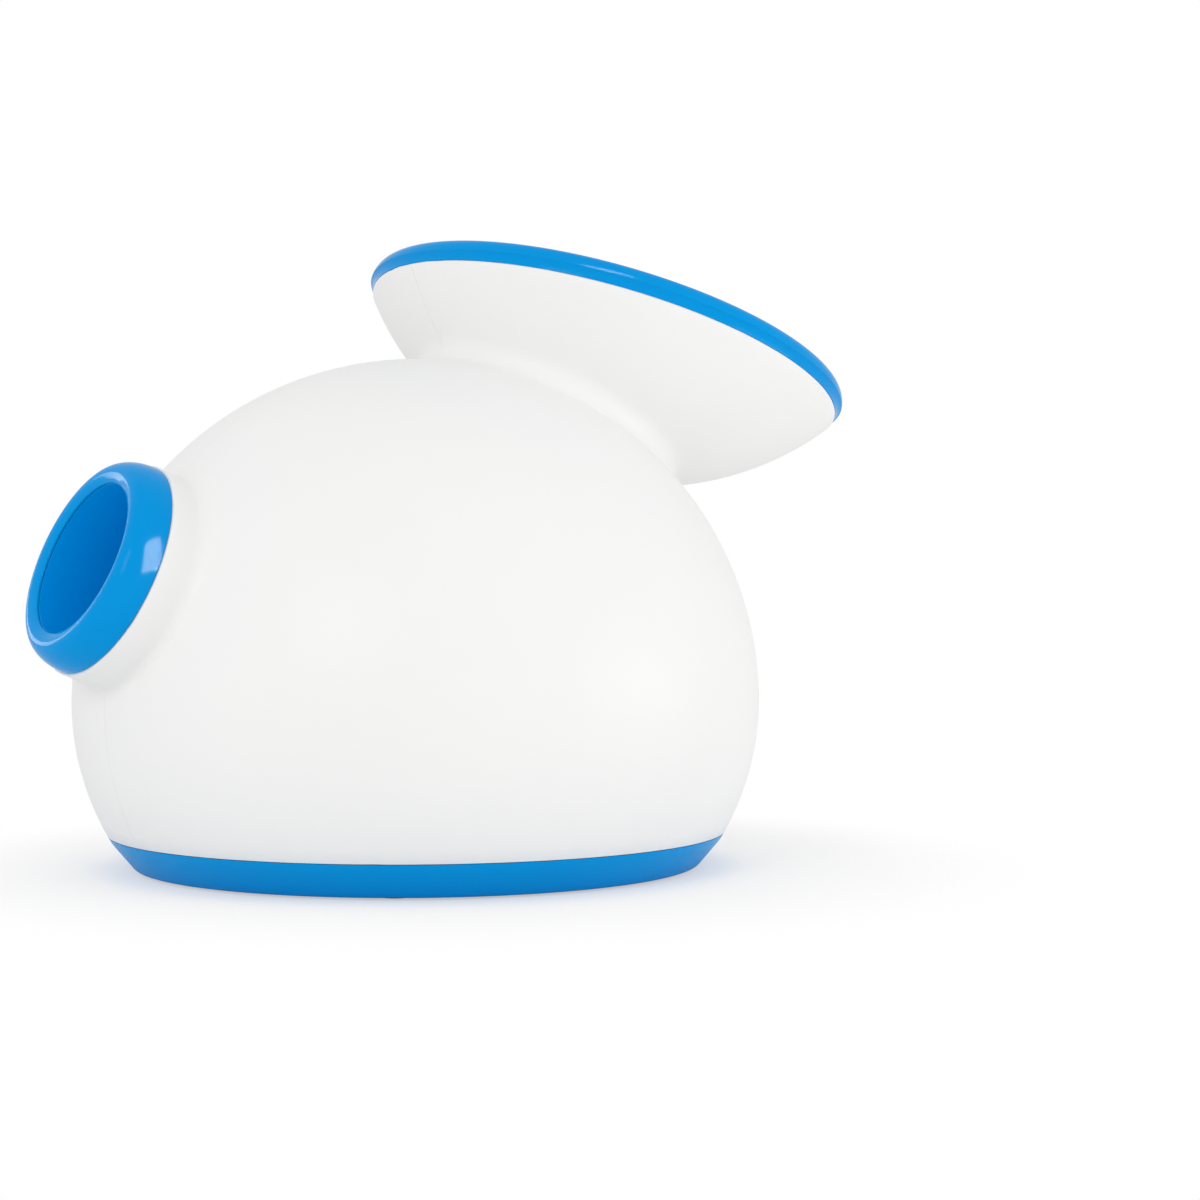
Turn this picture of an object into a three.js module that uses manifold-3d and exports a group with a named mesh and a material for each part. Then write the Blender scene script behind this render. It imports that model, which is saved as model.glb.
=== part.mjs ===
// Automatic ball launcher for dogs, in millimetres, +Z up, with the muzzle towards -Y.
// The plane X = 0 is the seam between the two shell halves. A ball dropped in the bowl falls through
// the throat, rolls down the chute, waits at the gate and is thrown by two counter-turning flywheels.

import * as THREE from 'three';
import { mergeVertices } from 'three/addons/utils/BufferGeometryUtils.js';
import Module from 'manifold-3d';

const wasm = await Module();
wasm.setup();

// Clearances
const seatGap = 0.3; // between pieces that touch
const slideGap = 0.4; // between pieces that slide past each other
const wheelGap = 1.5; // between a spinning tyre and what stands round it
const ballPlay = 5; // wider than the ball, all along its way in
const overrun = 2; // how far a cut runs past the face it opens

// Body
const domeRadius = 105;
const domeCentreHeight = 50.7;
const skirtDepth = 91.4; // half height of the ellipse below the dome's centre
const shellWall = 2.8;
const baseLineHeight = 11; // where the white shells meet the blue base
const creaseRadius = 5; // soft corner between dome and bowl
const crownSteps = 9;
const skirtSteps = 3;
const domeSides = 40;

// Bowl on top
const bowlTilt = 19;
const bowlRadius = 99;
const bowlRimRadius = 77.8;
const bowlRimBack = 70.8;
const bowlRimHeight = 159.8;
const bowlSteps = 5;
const bowlSides = 40;
const linerSides = 28;
const tongueHeight = 3.2;
const tongueWall = 1.5;
const rimBulge = 1.5; // the blue rim stands this far past the bowl's edge
const rimHeight = 7.3;
const rimLegWidth = 2.6;
const rimLegRise = 1.5;
const linerWall = 2;
const linerGap = 1.3; // between the liner and the bowl's inside, which is faceted
const throatForward = 24.8; // from the rim's centre forward to the throat's centre
const throatHeight = 138;
const throatTilt = 26.5;
const throatLip = 2.5; // rounding where the funnel turns into the throat
const linerEdgeDrop = 6.5; // depth of the upright edge inside the rim
const linerSag = 1.1;

// Ball and its way through
const ballDiameter = 40;
const tubeWall = 2;
const chuteAngle = 26;
const chuteBend = 38;
const chuteTop = 123.5;
const chuteEnd = 14.6; // from the valley up the chute to where the chute begins
const chuteSides = 16;

// Muzzle
const muzzleReach = 112;
const muzzleHeight = 94.2;
const launchAngle = 22.6;
const boreRadius = 23;
const barrelWall = 2.4;
const barrelLength = 46;
const barrelFlange = 2;
const ringRadius = 31.8;
const ringDepth = 9; // from the muzzle's opening back to the neck's front edge
const ringNose = 1.1; // the ring's front stands this far before the opening's edge
const ringNoseRadius = 26.4;
const ringLip = 3;
const sleeveLength = 7.5;
const sleeveWall = 1.5;
const neckRadius = 32.4;
const neckWall = 2.6;
const neckFillet = 5;
const neckShoulder = 4;
const muzzleSides = 30;

// Flywheels
const nipBack = 72; // from the muzzle's opening back to the line between the two wheel centres
const nipGap = 33;
const wheelRadius = 30;
const wheelWidth = 20;
const tyreThickness = 6;
const treadHollow = 1.2;
const hubRimWall = 2.6;
const hubWebThickness = 4;
const hubBossRadius = 5;
const hubHoleRadius = 4.2;
const hubHoleCount = 5;
const wheelSides = 20;
const shaftRadius = 1.5;

// Motors
const motorRadius = 12.2;
const motorLength = 30.8;
const motorBossRadius = 5;
const motorBossHeight = 3.2;
const shaftDepth = 6;
const terminalWidth = 2.8;
const terminalThickness = 0.8;
const terminalLength = 4;
const terminalPlace = 7;

// Drive frame
const plateThickness = 3.5;
const plateDrop = 13.5; // from the launch axis down to the plate's top
const plateHalfWidth = 63;
const plateFront = 48;
const plateBack = 96;
const plateCorner = 14;
const troughWall = 2.5;
const troughPlay = 1.5;
const valleyBack = 86; // from the muzzle's opening back to the lowest point of the ball's way
const legRadius = 4;
const legSide = 24;
const legFront = 69;
const legRear = 34;

// Base tray
const groundGap = 1.5;
const trayFloor = 2.5;
const trayEdgeRadius = 6;
const trayEdgeSteps = 3;
const lipHeight = 3.6;
const lipWall = 1.8;
const bossHeight = 5;
const bossRadius = 5;
const postTop = 34;
const postAngle = 25;
const postCircle = 77;
const postWebThickness = 2;
const footRadius = 6;
const footHeight = 2.4;
const footSide = 61;
const footReach = 46;
const footSink = 1.2;

// Screws
const screwRadius = 1.5;
const screwHeadRadius = 3.2;
const screwHeadHeight = 2;
const baseScrewLength = 14;
const lugRadius = 5.5;
const lugLength = 7;
const lugHeight = 30;
const lugBite = 1;

// Battery bay
const cellRadius = 13.1;
const cellLength = 48.4;
const cellNub = 1.6;
const cellNubRadius = 3.2;
const cellPitch = 26.6;
const cellRows = 3;
const bayCentreBack = 25;
const bayWall = 2;
const bayRoof = 2;
const doorThickness = 2.5;
const doorLatchWidth = 16;
const doorLatchReach = 4;
const ribHeight = 1.2;
const ribWidth = 1.6;
const doorRibCount = 5;
const contactThickness = 0.8;
const contactDimple = 1;
const contactDimpleRadius = 2.5;

// Chute fittings
const standSide = 64;
const standBack = 16;
const standRadius = 5;
const spigotRadius = 2.4;
const spigotHeight = 6;
const earThickness = 3;
const earHalfWidth = 8;
const gateEarInner = 12;
const ballWaitUp = 46; // from the valley up the chute to the centre of the waiting ball
const gateRise = 34; // from the chute's axis up to the gate's pin
const gateLead = 2; // play between the waiting ball and the gate's finger
const gateFingerPast = 4;
const gateFingerWidth = 6;
const gateFingerThickness = 4;
const gateHubRadius = 5;
const gatePinRadius = 2;
const sensorRadius = 2.5;
const sensorLength = 8;
const sensorBossWall = 2;

// Gate drive
const gearModule = 1;
const gateTeeth = 24;
const pinionTeeth = 8;
const gearWidth = 4;
const gearBacklash = 0.12;
const gearHubGap = 1;
const gateMotorRadius = 8;
const gateMotorLength = 20;

// Control panel at the back
const panelHeight = 62;
const panelBack = 96;
const panelHalfLength = 30;
const panelHalfHeight = 12;
const panelThickness = 2.5;
const panelLedge = 2;
const pocketWall = 2.2;
const buttonRadius = 7;
const buttonProud = 2;
const buttonFlange = 1.2;
const buttonTravel = 1.5;
const buttonStemRadius = 2.2;
const springRadius = 4;
const springWire = 0.6;
const springTurns = 3;
const lensRadius = 1.6;
const lensPitch = 6;
const lensSide = 15;
const lensCount = 3;
const lensBar = 1.6;
const jackSide = 15.5;
const jackRadius = 5.5;
const jackBore = 3.3;
const jackDepth = 9;
const jackPinRadius = 1;
const boardThickness = 1.6;
const boardGap = 9; // from the panel's back to the board
const boardHalfWidth = 28.5;
const boardHalfHeight = 17;
const boardPostRadius = 2.5;
const boardPinRadius = 1.2;
const boardPinProud = 1.2;
const switchHalf = 3;

// Angles and directions
const halfTurn = 180;
const degrees = Math.PI / halfTurn;
const alongX = new THREE.Vector3(1, 0, 0);
const alongY = new THREE.Vector3(0, 1, 0);
const alongZ = new THREE.Vector3(0, 0, 1);

// Frames: the bowl's, at the centre of its rim, and the launch axis's, at the muzzle's opening
const bowlPose = frame(at(0, bowlRimBack, bowlRimHeight), bowlTilt);
const launchPose = frame(at(0, -muzzleReach, muzzleHeight), launchAngle);
const valley = at(0, valleyBack, 0).applyMatrix4(launchPose);
const chutePose = frame(valley, -chuteAngle);

// Colours and surfaces
const white = finish(0xf5f6f7, 0.28, 0);
const blue = finish(0x0591dc, 0.3, 0);
const deepBlue = finish(0x0177c4, 0.32, 0);
const softRubber = finish(0x2b2d30, 0.85, 0);
const tyreRubber = finish(0x3a3c40, 0.9, 0);
const greyPlastic = finish(0xb9bdc2, 0.5, 0);
const blackPlastic = finish(0x1c1d1f, 0.45, 0);
const steel = finish(0xb4b7bb, 0.3, 1);
const brass = finish(0xc9a95a, 0.3, 1);
const boardGreen = finish(0x1d6b45, 0.5, 0);
const cellSleeve = finish(0x4a4d52, 0.4, 0.4);
const lensClear = finish(0xdce9ee, 0.15, 0);

const launcher = new THREE.Group();

addShells();
addBaseTray();
addBatteryBay();
addMuzzle();
addFunnel();
addChute();
addDriveFrame();
addFlywheels();
addGate();
addControlPanel();

// The model stands centred on its footprint
const reach = new THREE.Box3().setFromObject(launcher, true);
launcher.position.y = -(reach.min.y + reach.max.y) / 2;
launcher.updateMatrixWorld(true);

export default launcher;

// Shells

function addShells() {
  const outside = join(
    domeSolid(0),
    bowlSolid(0, 0),
    creaseSolid(0),
    shaped(neckOutside(), launchPose),
    shaped(tongue(), bowlPose),
  );
  const inside = join(
    domeSolid(shellWall),
    bowlSolid(shellWall, tongueHeight + overrun),
    creaseSolid(shellWall),
  );
  const pocket = panelPocket(pocketWall, -panelThickness - panelLedge, shellWall * 4);
  let shell = outside.subtract(inside);
  shell = join(
    shell,
    pocket.intersect(domeSolid(shellWall / 4)),
    shaped(neckInside(), launchPose),
    ...shellPosts(),
    ...seamLugs(),
  );
  shell = cut(
    shell,
    shaped(rod(at(0, 0, 0), at(0, flangeEnd() + seatGap, 0), neckBore(), muzzleSides), launchPose),
    shaped(rod(at(0, 0, 0), at(0, nipBack / 2, 0), barrelBore(), muzzleSides), launchPose),
    panelPocket(seatGap, -panelThickness - seatGap, domeRadius - panelBack + overrun),
    panelPocket(-panelLedge, -panelThickness - panelLedge - overrun, overrun),
    ...seamHoles(),
  );
  const halfSpace = domeRadius * 2;
  for (const [name, side] of [['shell_left', -1], ['shell_right', 1]]) {
    const from = at(side * seatGap / 2, -halfSpace, -halfSpace);
    const to = at(side * halfSpace, halfSpace, halfSpace);
    addPiece(name, shell.intersect(block(from, to)), white);
  }
}

function skirtRadius(inset, height) {
  const drop = (domeCentreHeight - height) / (skirtDepth - inset);
  return (domeRadius - inset) * Math.sqrt(1 - drop ** 2);
}

function domeSolid(inset) {
  const radius = domeRadius - inset;
  const bottom = inset > 0 ? baseLineHeight - overrun : baseLineHeight;
  const rows = inset > 0 ? 2 : skirtSteps;
  const outline = arc(0, domeCentreHeight, radius, 90, 0, inset > 0 ? 5 : crownSteps);
  for (let i = 1; i <= rows; i++) {
    const height = domeCentreHeight + (bottom - domeCentreHeight) * (i / rows);
    outline.push([skirtRadius(inset, height), height]);
  }
  return turned([...outline, [0, bottom]], domeSides);
}

function bowlCentreRise() {
  return Math.sqrt(bowlRadius ** 2 - bowlRimRadius ** 2);
}

function bowlSolid(inset, rise) {
  const radius = bowlRadius - inset;
  const centre = bowlCentreRise();
  const edge = Math.asin(centre / radius) / degrees;
  const outline = arc(0, centre, radius, -90, -edge, inset > 0 ? 4 : bowlSteps);
  const rimRadius = outline[outline.length - 1][0];
  const top = rise > 0 ? [[rimRadius, rise], [0, rise]] : [[0, 0]];
  return turned([...outline, ...top], bowlSides, bowlPose);
}

function tongue() {
  const inner = Math.sqrt((bowlRadius - shellWall) ** 2 - bowlCentreRise() ** 2);
  const outer = inner + tongueWall;
  const back = inner - overrun;
  const outline = [[back, -tongueWall], [outer, -tongueWall], [outer, tongueHeight], [back, tongueHeight]];
  return turned(outline, bowlSides);
}

// The soft corner is a band revolved about the line through the centres of dome and bowl
function creaseSolid(inset) {
  const domeCentre = at(0, 0, domeCentreHeight);
  const bowlCentre = at(0, 0, bowlCentreRise()).applyMatrix4(bowlPose);
  const apart = domeCentre.distanceTo(bowlCentre);
  const lower = domeRadius - inset;
  const upper = bowlRadius - inset;
  const round = creaseRadius + inset;
  const along = ((lower + round) ** 2 - (upper + round) ** 2 + apart ** 2) / (2 * apart);
  const out = Math.sqrt((lower + round) ** 2 - along ** 2);
  const start = Math.atan2(-along, -out) / degrees;
  const end = Math.atan2(apart - along, -out) / degrees - 360;
  const band = arc(out, along, round, start, end, 2);
  const first = band[0];
  const last = band[band.length - 1];
  const outline = [[0, first[1]], ...band, [0, last[1]]];
  const turn = new THREE.Quaternion().setFromUnitVectors(
    alongZ,
    bowlCentre.clone().sub(domeCentre).normalize(),
  );
  const pose = new THREE.Matrix4().compose(domeCentre, turn, new THREE.Vector3(1, 1, 1));
  return turned(outline, bowlSides, pose);
}

function neckBore() {
  return neckRadius - neckWall;
}

function barrelBore() {
  return boreRadius + barrelWall + slideGap;
}

// How far behind the muzzle's opening the ring's sleeve ends and the barrel's flange begins
function sleeveEnd() {
  return ringDepth + sleeveLength;
}

function flangeEnd() {
  return sleeveEnd() + seatGap + barrelFlange;
}

// A collar with a fillet that runs out on the dome
function neckOutside() {
  const toDome = at(0, muzzleReach, domeCentreHeight - muzzleHeight);
  const axis = at(0, 1, 0).transformDirection(launchPose);
  const along = toDome.dot(axis);
  const aside = Math.sqrt(toDome.lengthSq() - along ** 2);
  const out = neckRadius + neckFillet;
  const sink = aside * out / domeRadius;
  const back = along + sink - Math.sqrt((domeRadius + neckFillet) ** 2 - out ** 2);
  const end = halfTurn - Math.acos(out / (domeRadius + neckFillet)) / degrees;
  const fillet = arc(out, back, neckFillet, halfTurn, end, 3);
  const foot = back + neckFillet + shellWall;
  return turnedAlongY(
    [[0, ringDepth + seatGap], [neckRadius, ringDepth + seatGap], ...fillet, [fillet[3][0], foot], [0, foot]],
    muzzleSides,
  );
}

// The shoulder inside the neck that the barrel's flange rests against
function neckInside() {
  const front = flangeEnd() + seatGap;
  const outer = neckRadius - neckWall / 2;
  return turnedAlongY(
    [[0, front], [outer, front], [outer, front + neckShoulder], [0, front + neckShoulder]],
    muzzleSides,
  );
}

function postPlaces() {
  const places = [];
  for (const side of [-1, 1]) {
    for (const end of [-1, 1]) {
      const angle = end * postAngle * degrees;
      places.push(at(side * postCircle * Math.cos(angle), postCircle * Math.sin(angle), 0));
    }
  }
  return places;
}

function shellPosts() {
  const solids = [];
  const bottom = groundGap + trayFloor + bossHeight + seatGap;
  for (const place of postPlaces()) {
    const out = place.clone().normalize();
    const low = place.clone().setZ(bottom);
    const web = block(
      at(0, -postWebThickness / 2, baseLineHeight + lipHeight + slideGap * 2),
      at(domeRadius - postCircle, postWebThickness / 2, postTop),
    );
    const turn = new THREE.Quaternion().setFromUnitVectors(alongX, out);
    const pose = new THREE.Matrix4().compose(place, turn, new THREE.Vector3(1, 1, 1));
    const post = join(rod(low, place.clone().setZ(postTop), bossRadius), shaped(web, pose));
    const hole = rod(low.clone().setZ(0), place.clone().setZ(bottom + baseScrewLength), screwHole(), 8);
    solids.push(cut(post.intersect(domeSolid(shellWall / 2)), hole));
  }
  return solids;
}

function screwHole() {
  return screwRadius + seatGap;
}

function lugPlaces() {
  const back = skirtRadius(shellWall, lugHeight) - lugRadius + lugBite;
  return [at(0, -back, lugHeight), at(0, back, lugHeight)];
}

function seamLugs() {
  return lugPlaces().map((place) => rod(shifted(place, -lugLength), shifted(place, lugLength), lugRadius));
}

function seamHoles() {
  return lugPlaces().map((place) =>
    rod(shifted(place, -lugLength - overrun), shifted(place, lugLength + overrun), screwHole(), 8));
}

// Base tray

function trayFloorTop() {
  return groundGap + trayFloor;
}

function addBaseTray() {
  const edge = skirtRadius(0, groundGap + trayEdgeRadius);
  const lipTop = baseLineHeight + lipHeight;
  const lipOut = skirtRadius(shellWall, baseLineHeight) - slideGap;
  const joinHeight = baseLineHeight - seatGap;
  const side = [];
  for (let i = 0; i <= 1; i++) {
    const height = groundGap + trayEdgeRadius + (joinHeight - groundGap - trayEdgeRadius) * i;
    side.push([skirtRadius(0, height), height]);
  }
  const round = trayEdgeRadius;
  const corner = arc(edge - round, groundGap + round, round, -90, 0, trayEdgeSteps);
  const outline = [[0, groundGap], ...corner.slice(0, -1), ...side, [lipOut, joinHeight], [lipOut, lipTop],
    [lipOut - lipWall, lipTop], [lipOut - lipWall, trayFloorTop()], [0, trayFloorTop()]];
  const raised = [];
  const cuts = [];
  for (const place of [...postPlaces(), ...legPlaces()]) {
    const foot = place.clone().setZ(groundGap);
    const under = place.clone().setZ(-overrun);
    const top = place.clone().setZ(trayFloorTop() + bossHeight);
    raised.push(rod(foot, top, bossRadius));
    cuts.push(rod(under, top.clone().setZ(top.z + overrun), screwHole(), 8));
    cuts.push(rod(under, place.clone().setZ(headSeat()), screwHeadRadius + slideGap));
  }
  for (const side of [-1, 1]) {
    raised.push(rod(
      at(side * standSide, standBack, groundGap),
      at(side * standSide, standBack, trayFloorTop() + spigotHeight),
      spigotRadius,
    ));
  }
  for (const place of footPlaces()) {
    const under = place.clone().setZ(-overrun);
    cuts.push(rod(under, place.clone().setZ(groundGap + footSink), footRadius + seatGap));
  }
  const opening = doorHalfWidth() + slideGap;
  cuts.push(block(at(-opening, bayFront(), -overrun), at(opening, bayRear(), trayFloorTop() + overrun)));
  const latch = doorLatchWidth / 2 + slideGap;
  cuts.push(block(
    at(-latch, bayRear() - overrun, -overrun),
    at(latch, bayRear() + doorLatchReach, trayFloorTop() + overrun),
  ));
  addPiece('base_tray', cut(join(turned(outline, domeSides), ...raised), ...cuts), blue);
  addFeet();
  addBaseScrews();
}

function headSeat() {
  return trayFloorTop() + seatGap + screwHeadHeight / 4;
}

function standSolid() {
  const foot = trayFloorTop() + seatGap;
  const reachOut = standRadius * 1.6;
  const ribs = [0, 90].map((angle) => {
    const turn = new THREE.Matrix4().makeRotationZ(angle * degrees).setPosition(0, 0, foot);
    return shaped(wedge(reachOut, ribWidth, standRadius * 7), turn);
  });
  const post = join(rod(at(0, 0, foot), at(0, 0, standTop()), standRadius), ...ribs);
  const socket = rod(at(0, 0, 0), at(0, 0, trayFloorTop() + spigotHeight + seatGap), spigotRadius + seatGap);
  const hole = rod(at(0, 0, standTop() - baseScrewLength), at(0, 0, standTop() + overrun), screwHole(), 8);
  return cut(post, socket, hole);
}

// A pair of triangular ribs, wide at the foot and closing towards the top
function wedge(reachOut, thickness, height) {
  const outline = new THREE.Shape();
  outline.moveTo(-reachOut, 0);
  outline.lineTo(reachOut, 0);
  outline.lineTo(reachOut, trayFloor * 2);
  outline.lineTo(0, height);
  outline.lineTo(-reachOut, trayFloor * 2);
  const upright = new THREE.Matrix4().makeRotationX(Math.PI / 2).setPosition(0, thickness / 2, 0);
  return extruded(outline, thickness, upright);
}

function footPlaces() {
  const places = [];
  for (const end of [-1, 1]) {
    for (const side of [-1, 1]) places.push(at(side * footSide, end * footReach, 0));
  }
  return places;
}

function addFeet() {
  const names = ['foot_front_left', 'foot_front_right', 'foot_rear_left', 'foot_rear_right'];
  const outline = [[0, 0], [footRadius - footHeight / 4, 0], [footRadius, footHeight / 4],
    [footRadius, footHeight], [0, footHeight]];
  footPlaces().forEach((place, i) => addPiece(names[i], turned(outline, 12), softRubber, place));
}

function screwSolid(length) {
  const slot = screwHeadRadius / 5;
  const head = rod(at(0, 0, -screwHeadHeight), at(0, 0, 0), screwHeadRadius, 10);
  const shank = rod(at(0, 0, -screwHeadHeight / 2), at(0, 0, length), screwRadius, 6);
  const across = at(screwHeadRadius + overrun, slot, -screwHeadHeight / 2);
  return cut(join(head, shank), block(at(-across.x, -slot, -screwHeadHeight - overrun), across));
}

function addBaseScrews() {
  const corners = ['front_left', 'rear_left', 'front_right', 'rear_right'];
  const solid = screwSolid(baseScrewLength);
  const seat = headSeat() - seatGap;
  corners.forEach((corner, i) => {
    addPiece(`base_screw_${corner}`, solid, steel, postPlaces()[i].setZ(seat));
    addPiece(`drive_screw_${corner}`, solid, steel, legPlaces()[i].setZ(seat));
  });
  const ends = ['case_screw_front', 'case_screw_rear'];
  lugPlaces().forEach((place, i) => {
    const screw = addPiece(ends[i], screwSolid(lugLength * 1.8), steel, shifted(place, lugLength + seatGap));
    screw.rotation.y = -Math.PI / 2;
  });
}

// Battery bay

function bayHalfLength() {
  return cellLength + cellNub + slideGap * 2;
}

function contactRoom() {
  return contactThickness + contactDimple + seatGap;
}

function doorHalfWidth() {
  return bayHalfLength() - seatGap;
}

function bayHalfDepth() {
  return cellPitch * cellRows / 2 + slideGap;
}

function bayFront() {
  return bayCentreBack - bayHalfDepth() + bayWall;
}

function bayRear() {
  return bayCentreBack + bayHalfDepth() - bayWall;
}

function cellHeight() {
  return trayFloorTop() + seatGap * 2 + cellRadius;
}

function addBatteryBay() {
  const low = trayFloorTop() + seatGap;
  const inLength = bayHalfLength() + contactRoom();
  const top = cellHeight() + cellRadius + slideGap + bayRoof;
  const body = block(
    at(-inLength - bayWall, bayCentreBack - bayHalfDepth() - bayWall, low),
    at(inLength + bayWall, bayCentreBack + bayHalfDepth() + bayWall, top),
  );
  const hollow = [];
  for (let row = 0; row < cellRows; row++) {
    const back = cellRowBack(row);
    const room = cellRadius + slideGap;
    hollow.push(rod(at(-inLength, back, cellHeight()), at(inLength, back, cellHeight()), room, 24));
    hollow.push(block(at(-inLength, back - room, low - overrun), at(inLength, back + room, cellHeight())));
  }
  addPiece('battery_box', cut(body, ...hollow), greyPlastic);
  addCells();
  addContacts(inLength);
  addDoor();
}

function cellRowBack(row) {
  return bayCentreBack + (row - (cellRows - 1) / 2) * cellPitch;
}

function addCells() {
  const shoulder = cellRadius / 10;
  const outline = [[0, 0], [cellRadius - shoulder, 0], [cellRadius, shoulder],
    [cellRadius, cellLength - shoulder], [cellRadius - shoulder, cellLength], [cellNubRadius, cellLength],
    [cellNubRadius, cellLength + cellNub], [0, cellLength + cellNub]];
  const solid = turned(outline, 12);
  let number = 1;
  for (let row = 0; row < cellRows; row++) {
    for (const side of [-1, 1]) {
      const start = side < 0 ? -bayHalfLength() + slideGap : slideGap;
      const cell = addPiece(`cell_${number}`, solid, cellSleeve, at(start, cellRowBack(row), cellHeight()));
      cell.rotation.y = Math.PI / 2;
      number += 1;
    }
  }
}

function addContacts(inLength) {
  for (const [name, side] of [['contact_strip_left', -1], ['contact_strip_right', 1]]) {
    const outer = inLength - seatGap;
    const inner = outer - contactThickness;
    const depth = bayHalfDepth() - slideGap * 2;
    const strip = block(
      at(side * inner, bayCentreBack - depth, cellHeight() - contactDimpleRadius * 2),
      at(side * outer, bayCentreBack + depth, cellHeight() + contactDimpleRadius * 0.4),
    );
    const dimples = [];
    for (let row = 0; row < cellRows; row++) {
      const back = cellRowBack(row);
      dimples.push(rod(
        at(side * (inner - contactDimple), back, cellHeight()),
        at(side * outer, back, cellHeight()),
        contactDimpleRadius,
        8,
      ));
    }
    addPiece(name, join(strip, ...dimples), brass);
  }
}

function addDoor() {
  const half = doorHalfWidth();
  const top = trayFloorTop();
  const bottom = top - doorThickness + seatGap;
  const front = bayFront() + slideGap;
  const rear = bayRear() - slideGap;
  const latch = doorLatchWidth / 2;
  const grips = [];
  for (let i = 0; i < doorRibCount; i++) {
    const back = rear - (i + 1) * ribWidth * 2;
    const from = at(-latch, back - ribWidth / 2, groundGap - overrun);
    grips.push(block(from, at(latch, back + ribWidth / 2, bottom + ribHeight / 2)));
  }
  const plate = join(
    block(at(-half, front, bottom), at(half, rear, top)),
    block(at(-latch, rear - overrun, bottom), at(latch, rear + doorLatchReach, top)),
  );
  addPiece('battery_door', cut(plate, ...grips), blue);
}

// Muzzle

function addMuzzle() {
  const nose = [];
  const noseSteps = 5;
  for (let i = 0; i <= noseSteps; i++) {
    const turn = (i / noseSteps) * 90 * degrees;
    nose.push([
      ringNoseRadius + (ringRadius - ringNoseRadius) * Math.sin(turn),
      ringDepth - (ringDepth + ringNose) * Math.cos(turn),
    ]);
  }
  const sleeve = neckBore() - seatGap;
  const seat = sleeve - sleeveWall;
  const lipShares = [0.15, 0.5];
  const lip = lipShares.map((share) => [
    boreRadius + share * (ringNoseRadius - boreRadius),
    -ringNose * Math.sin(share * 90 * degrees),
  ]);
  const ring = [[boreRadius, ringLip], [boreRadius, 0], ...lip, ...nose, [sleeve, ringDepth],
    [sleeve, sleeveEnd()], [seat, sleeveEnd()], [seat, ringLip]];
  const muzzle = new THREE.Group();
  muzzle.applyMatrix4(launchPose);
  launcher.add(muzzle);
  addPiece('muzzle_ring', turnedAlongY(ring, muzzleSides), blue, at(0, 0, 0), muzzle);
  const outer = boreRadius + barrelWall;
  const collar = seat - slideGap;
  const start = ringLip + seatGap;
  const flange = sleeveEnd() + seatGap;
  const barrel = [[boreRadius, start], [collar, start], [collar, flange], [sleeve, flange],
    [sleeve, flangeEnd()], [outer, flangeEnd()], [outer, barrelLength],
    [boreRadius + barrelWall / 3, barrelLength]];
  addPiece('barrel_tube', turnedAlongY(barrel, muzzleSides), deepBlue, at(0, 0, 0), muzzle);
}

// Funnel

function addFunnel() {
  const centre = bowlCentreRise();
  const inner = Math.sqrt((bowlRadius - shellWall) ** 2 - centre ** 2);
  const tongueOuter = inner + tongueWall;
  const leg = inner - seatGap - rimLegWidth;
  const widest = bowlRimRadius + rimBulge;
  const bulgeShares = [0, 0.8, 1];
  const riseShares = [0.05, 0.25, 0.48];
  const outside = bulgeShares.map((share, i) => [
    bowlRimRadius + share * rimBulge,
    riseShares[i] * rimHeight,
  ]);
  const crown = widest - leg;
  const crownShares = [0.05, 0.2, 0.5, 0.84, 1];
  const crownRiseShares = [0.72, 0.93, 1, 0.9, 0.62];
  const over = crownShares.map((share, i) => [widest - share * crown, crownRiseShares[i] * rimHeight]);
  const rim = [...outside, ...over, [leg, rimLegRise], [inner - seatGap, rimLegRise],
    [inner - seatGap, tongueHeight + seatGap], [tongueOuter + seatGap, tongueHeight + seatGap],
    [tongueOuter + seatGap, riseShares[0] * rimHeight]];
  const bowl = new THREE.Group();
  bowl.applyMatrix4(bowlPose);
  launcher.add(bowl);
  addPiece('funnel_rim', turned(rim, bowlSides), blue, at(0, 0, 0), bowl);
  addPiece('funnel_liner', ringLoft(linerRings(inner), linerSides), white);
}

function throatRadius() {
  return chuteRadius() + tubeWall + slideGap * 2;
}

function chuteRadius() {
  return (ballDiameter + ballPlay) / 2;
}

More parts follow.
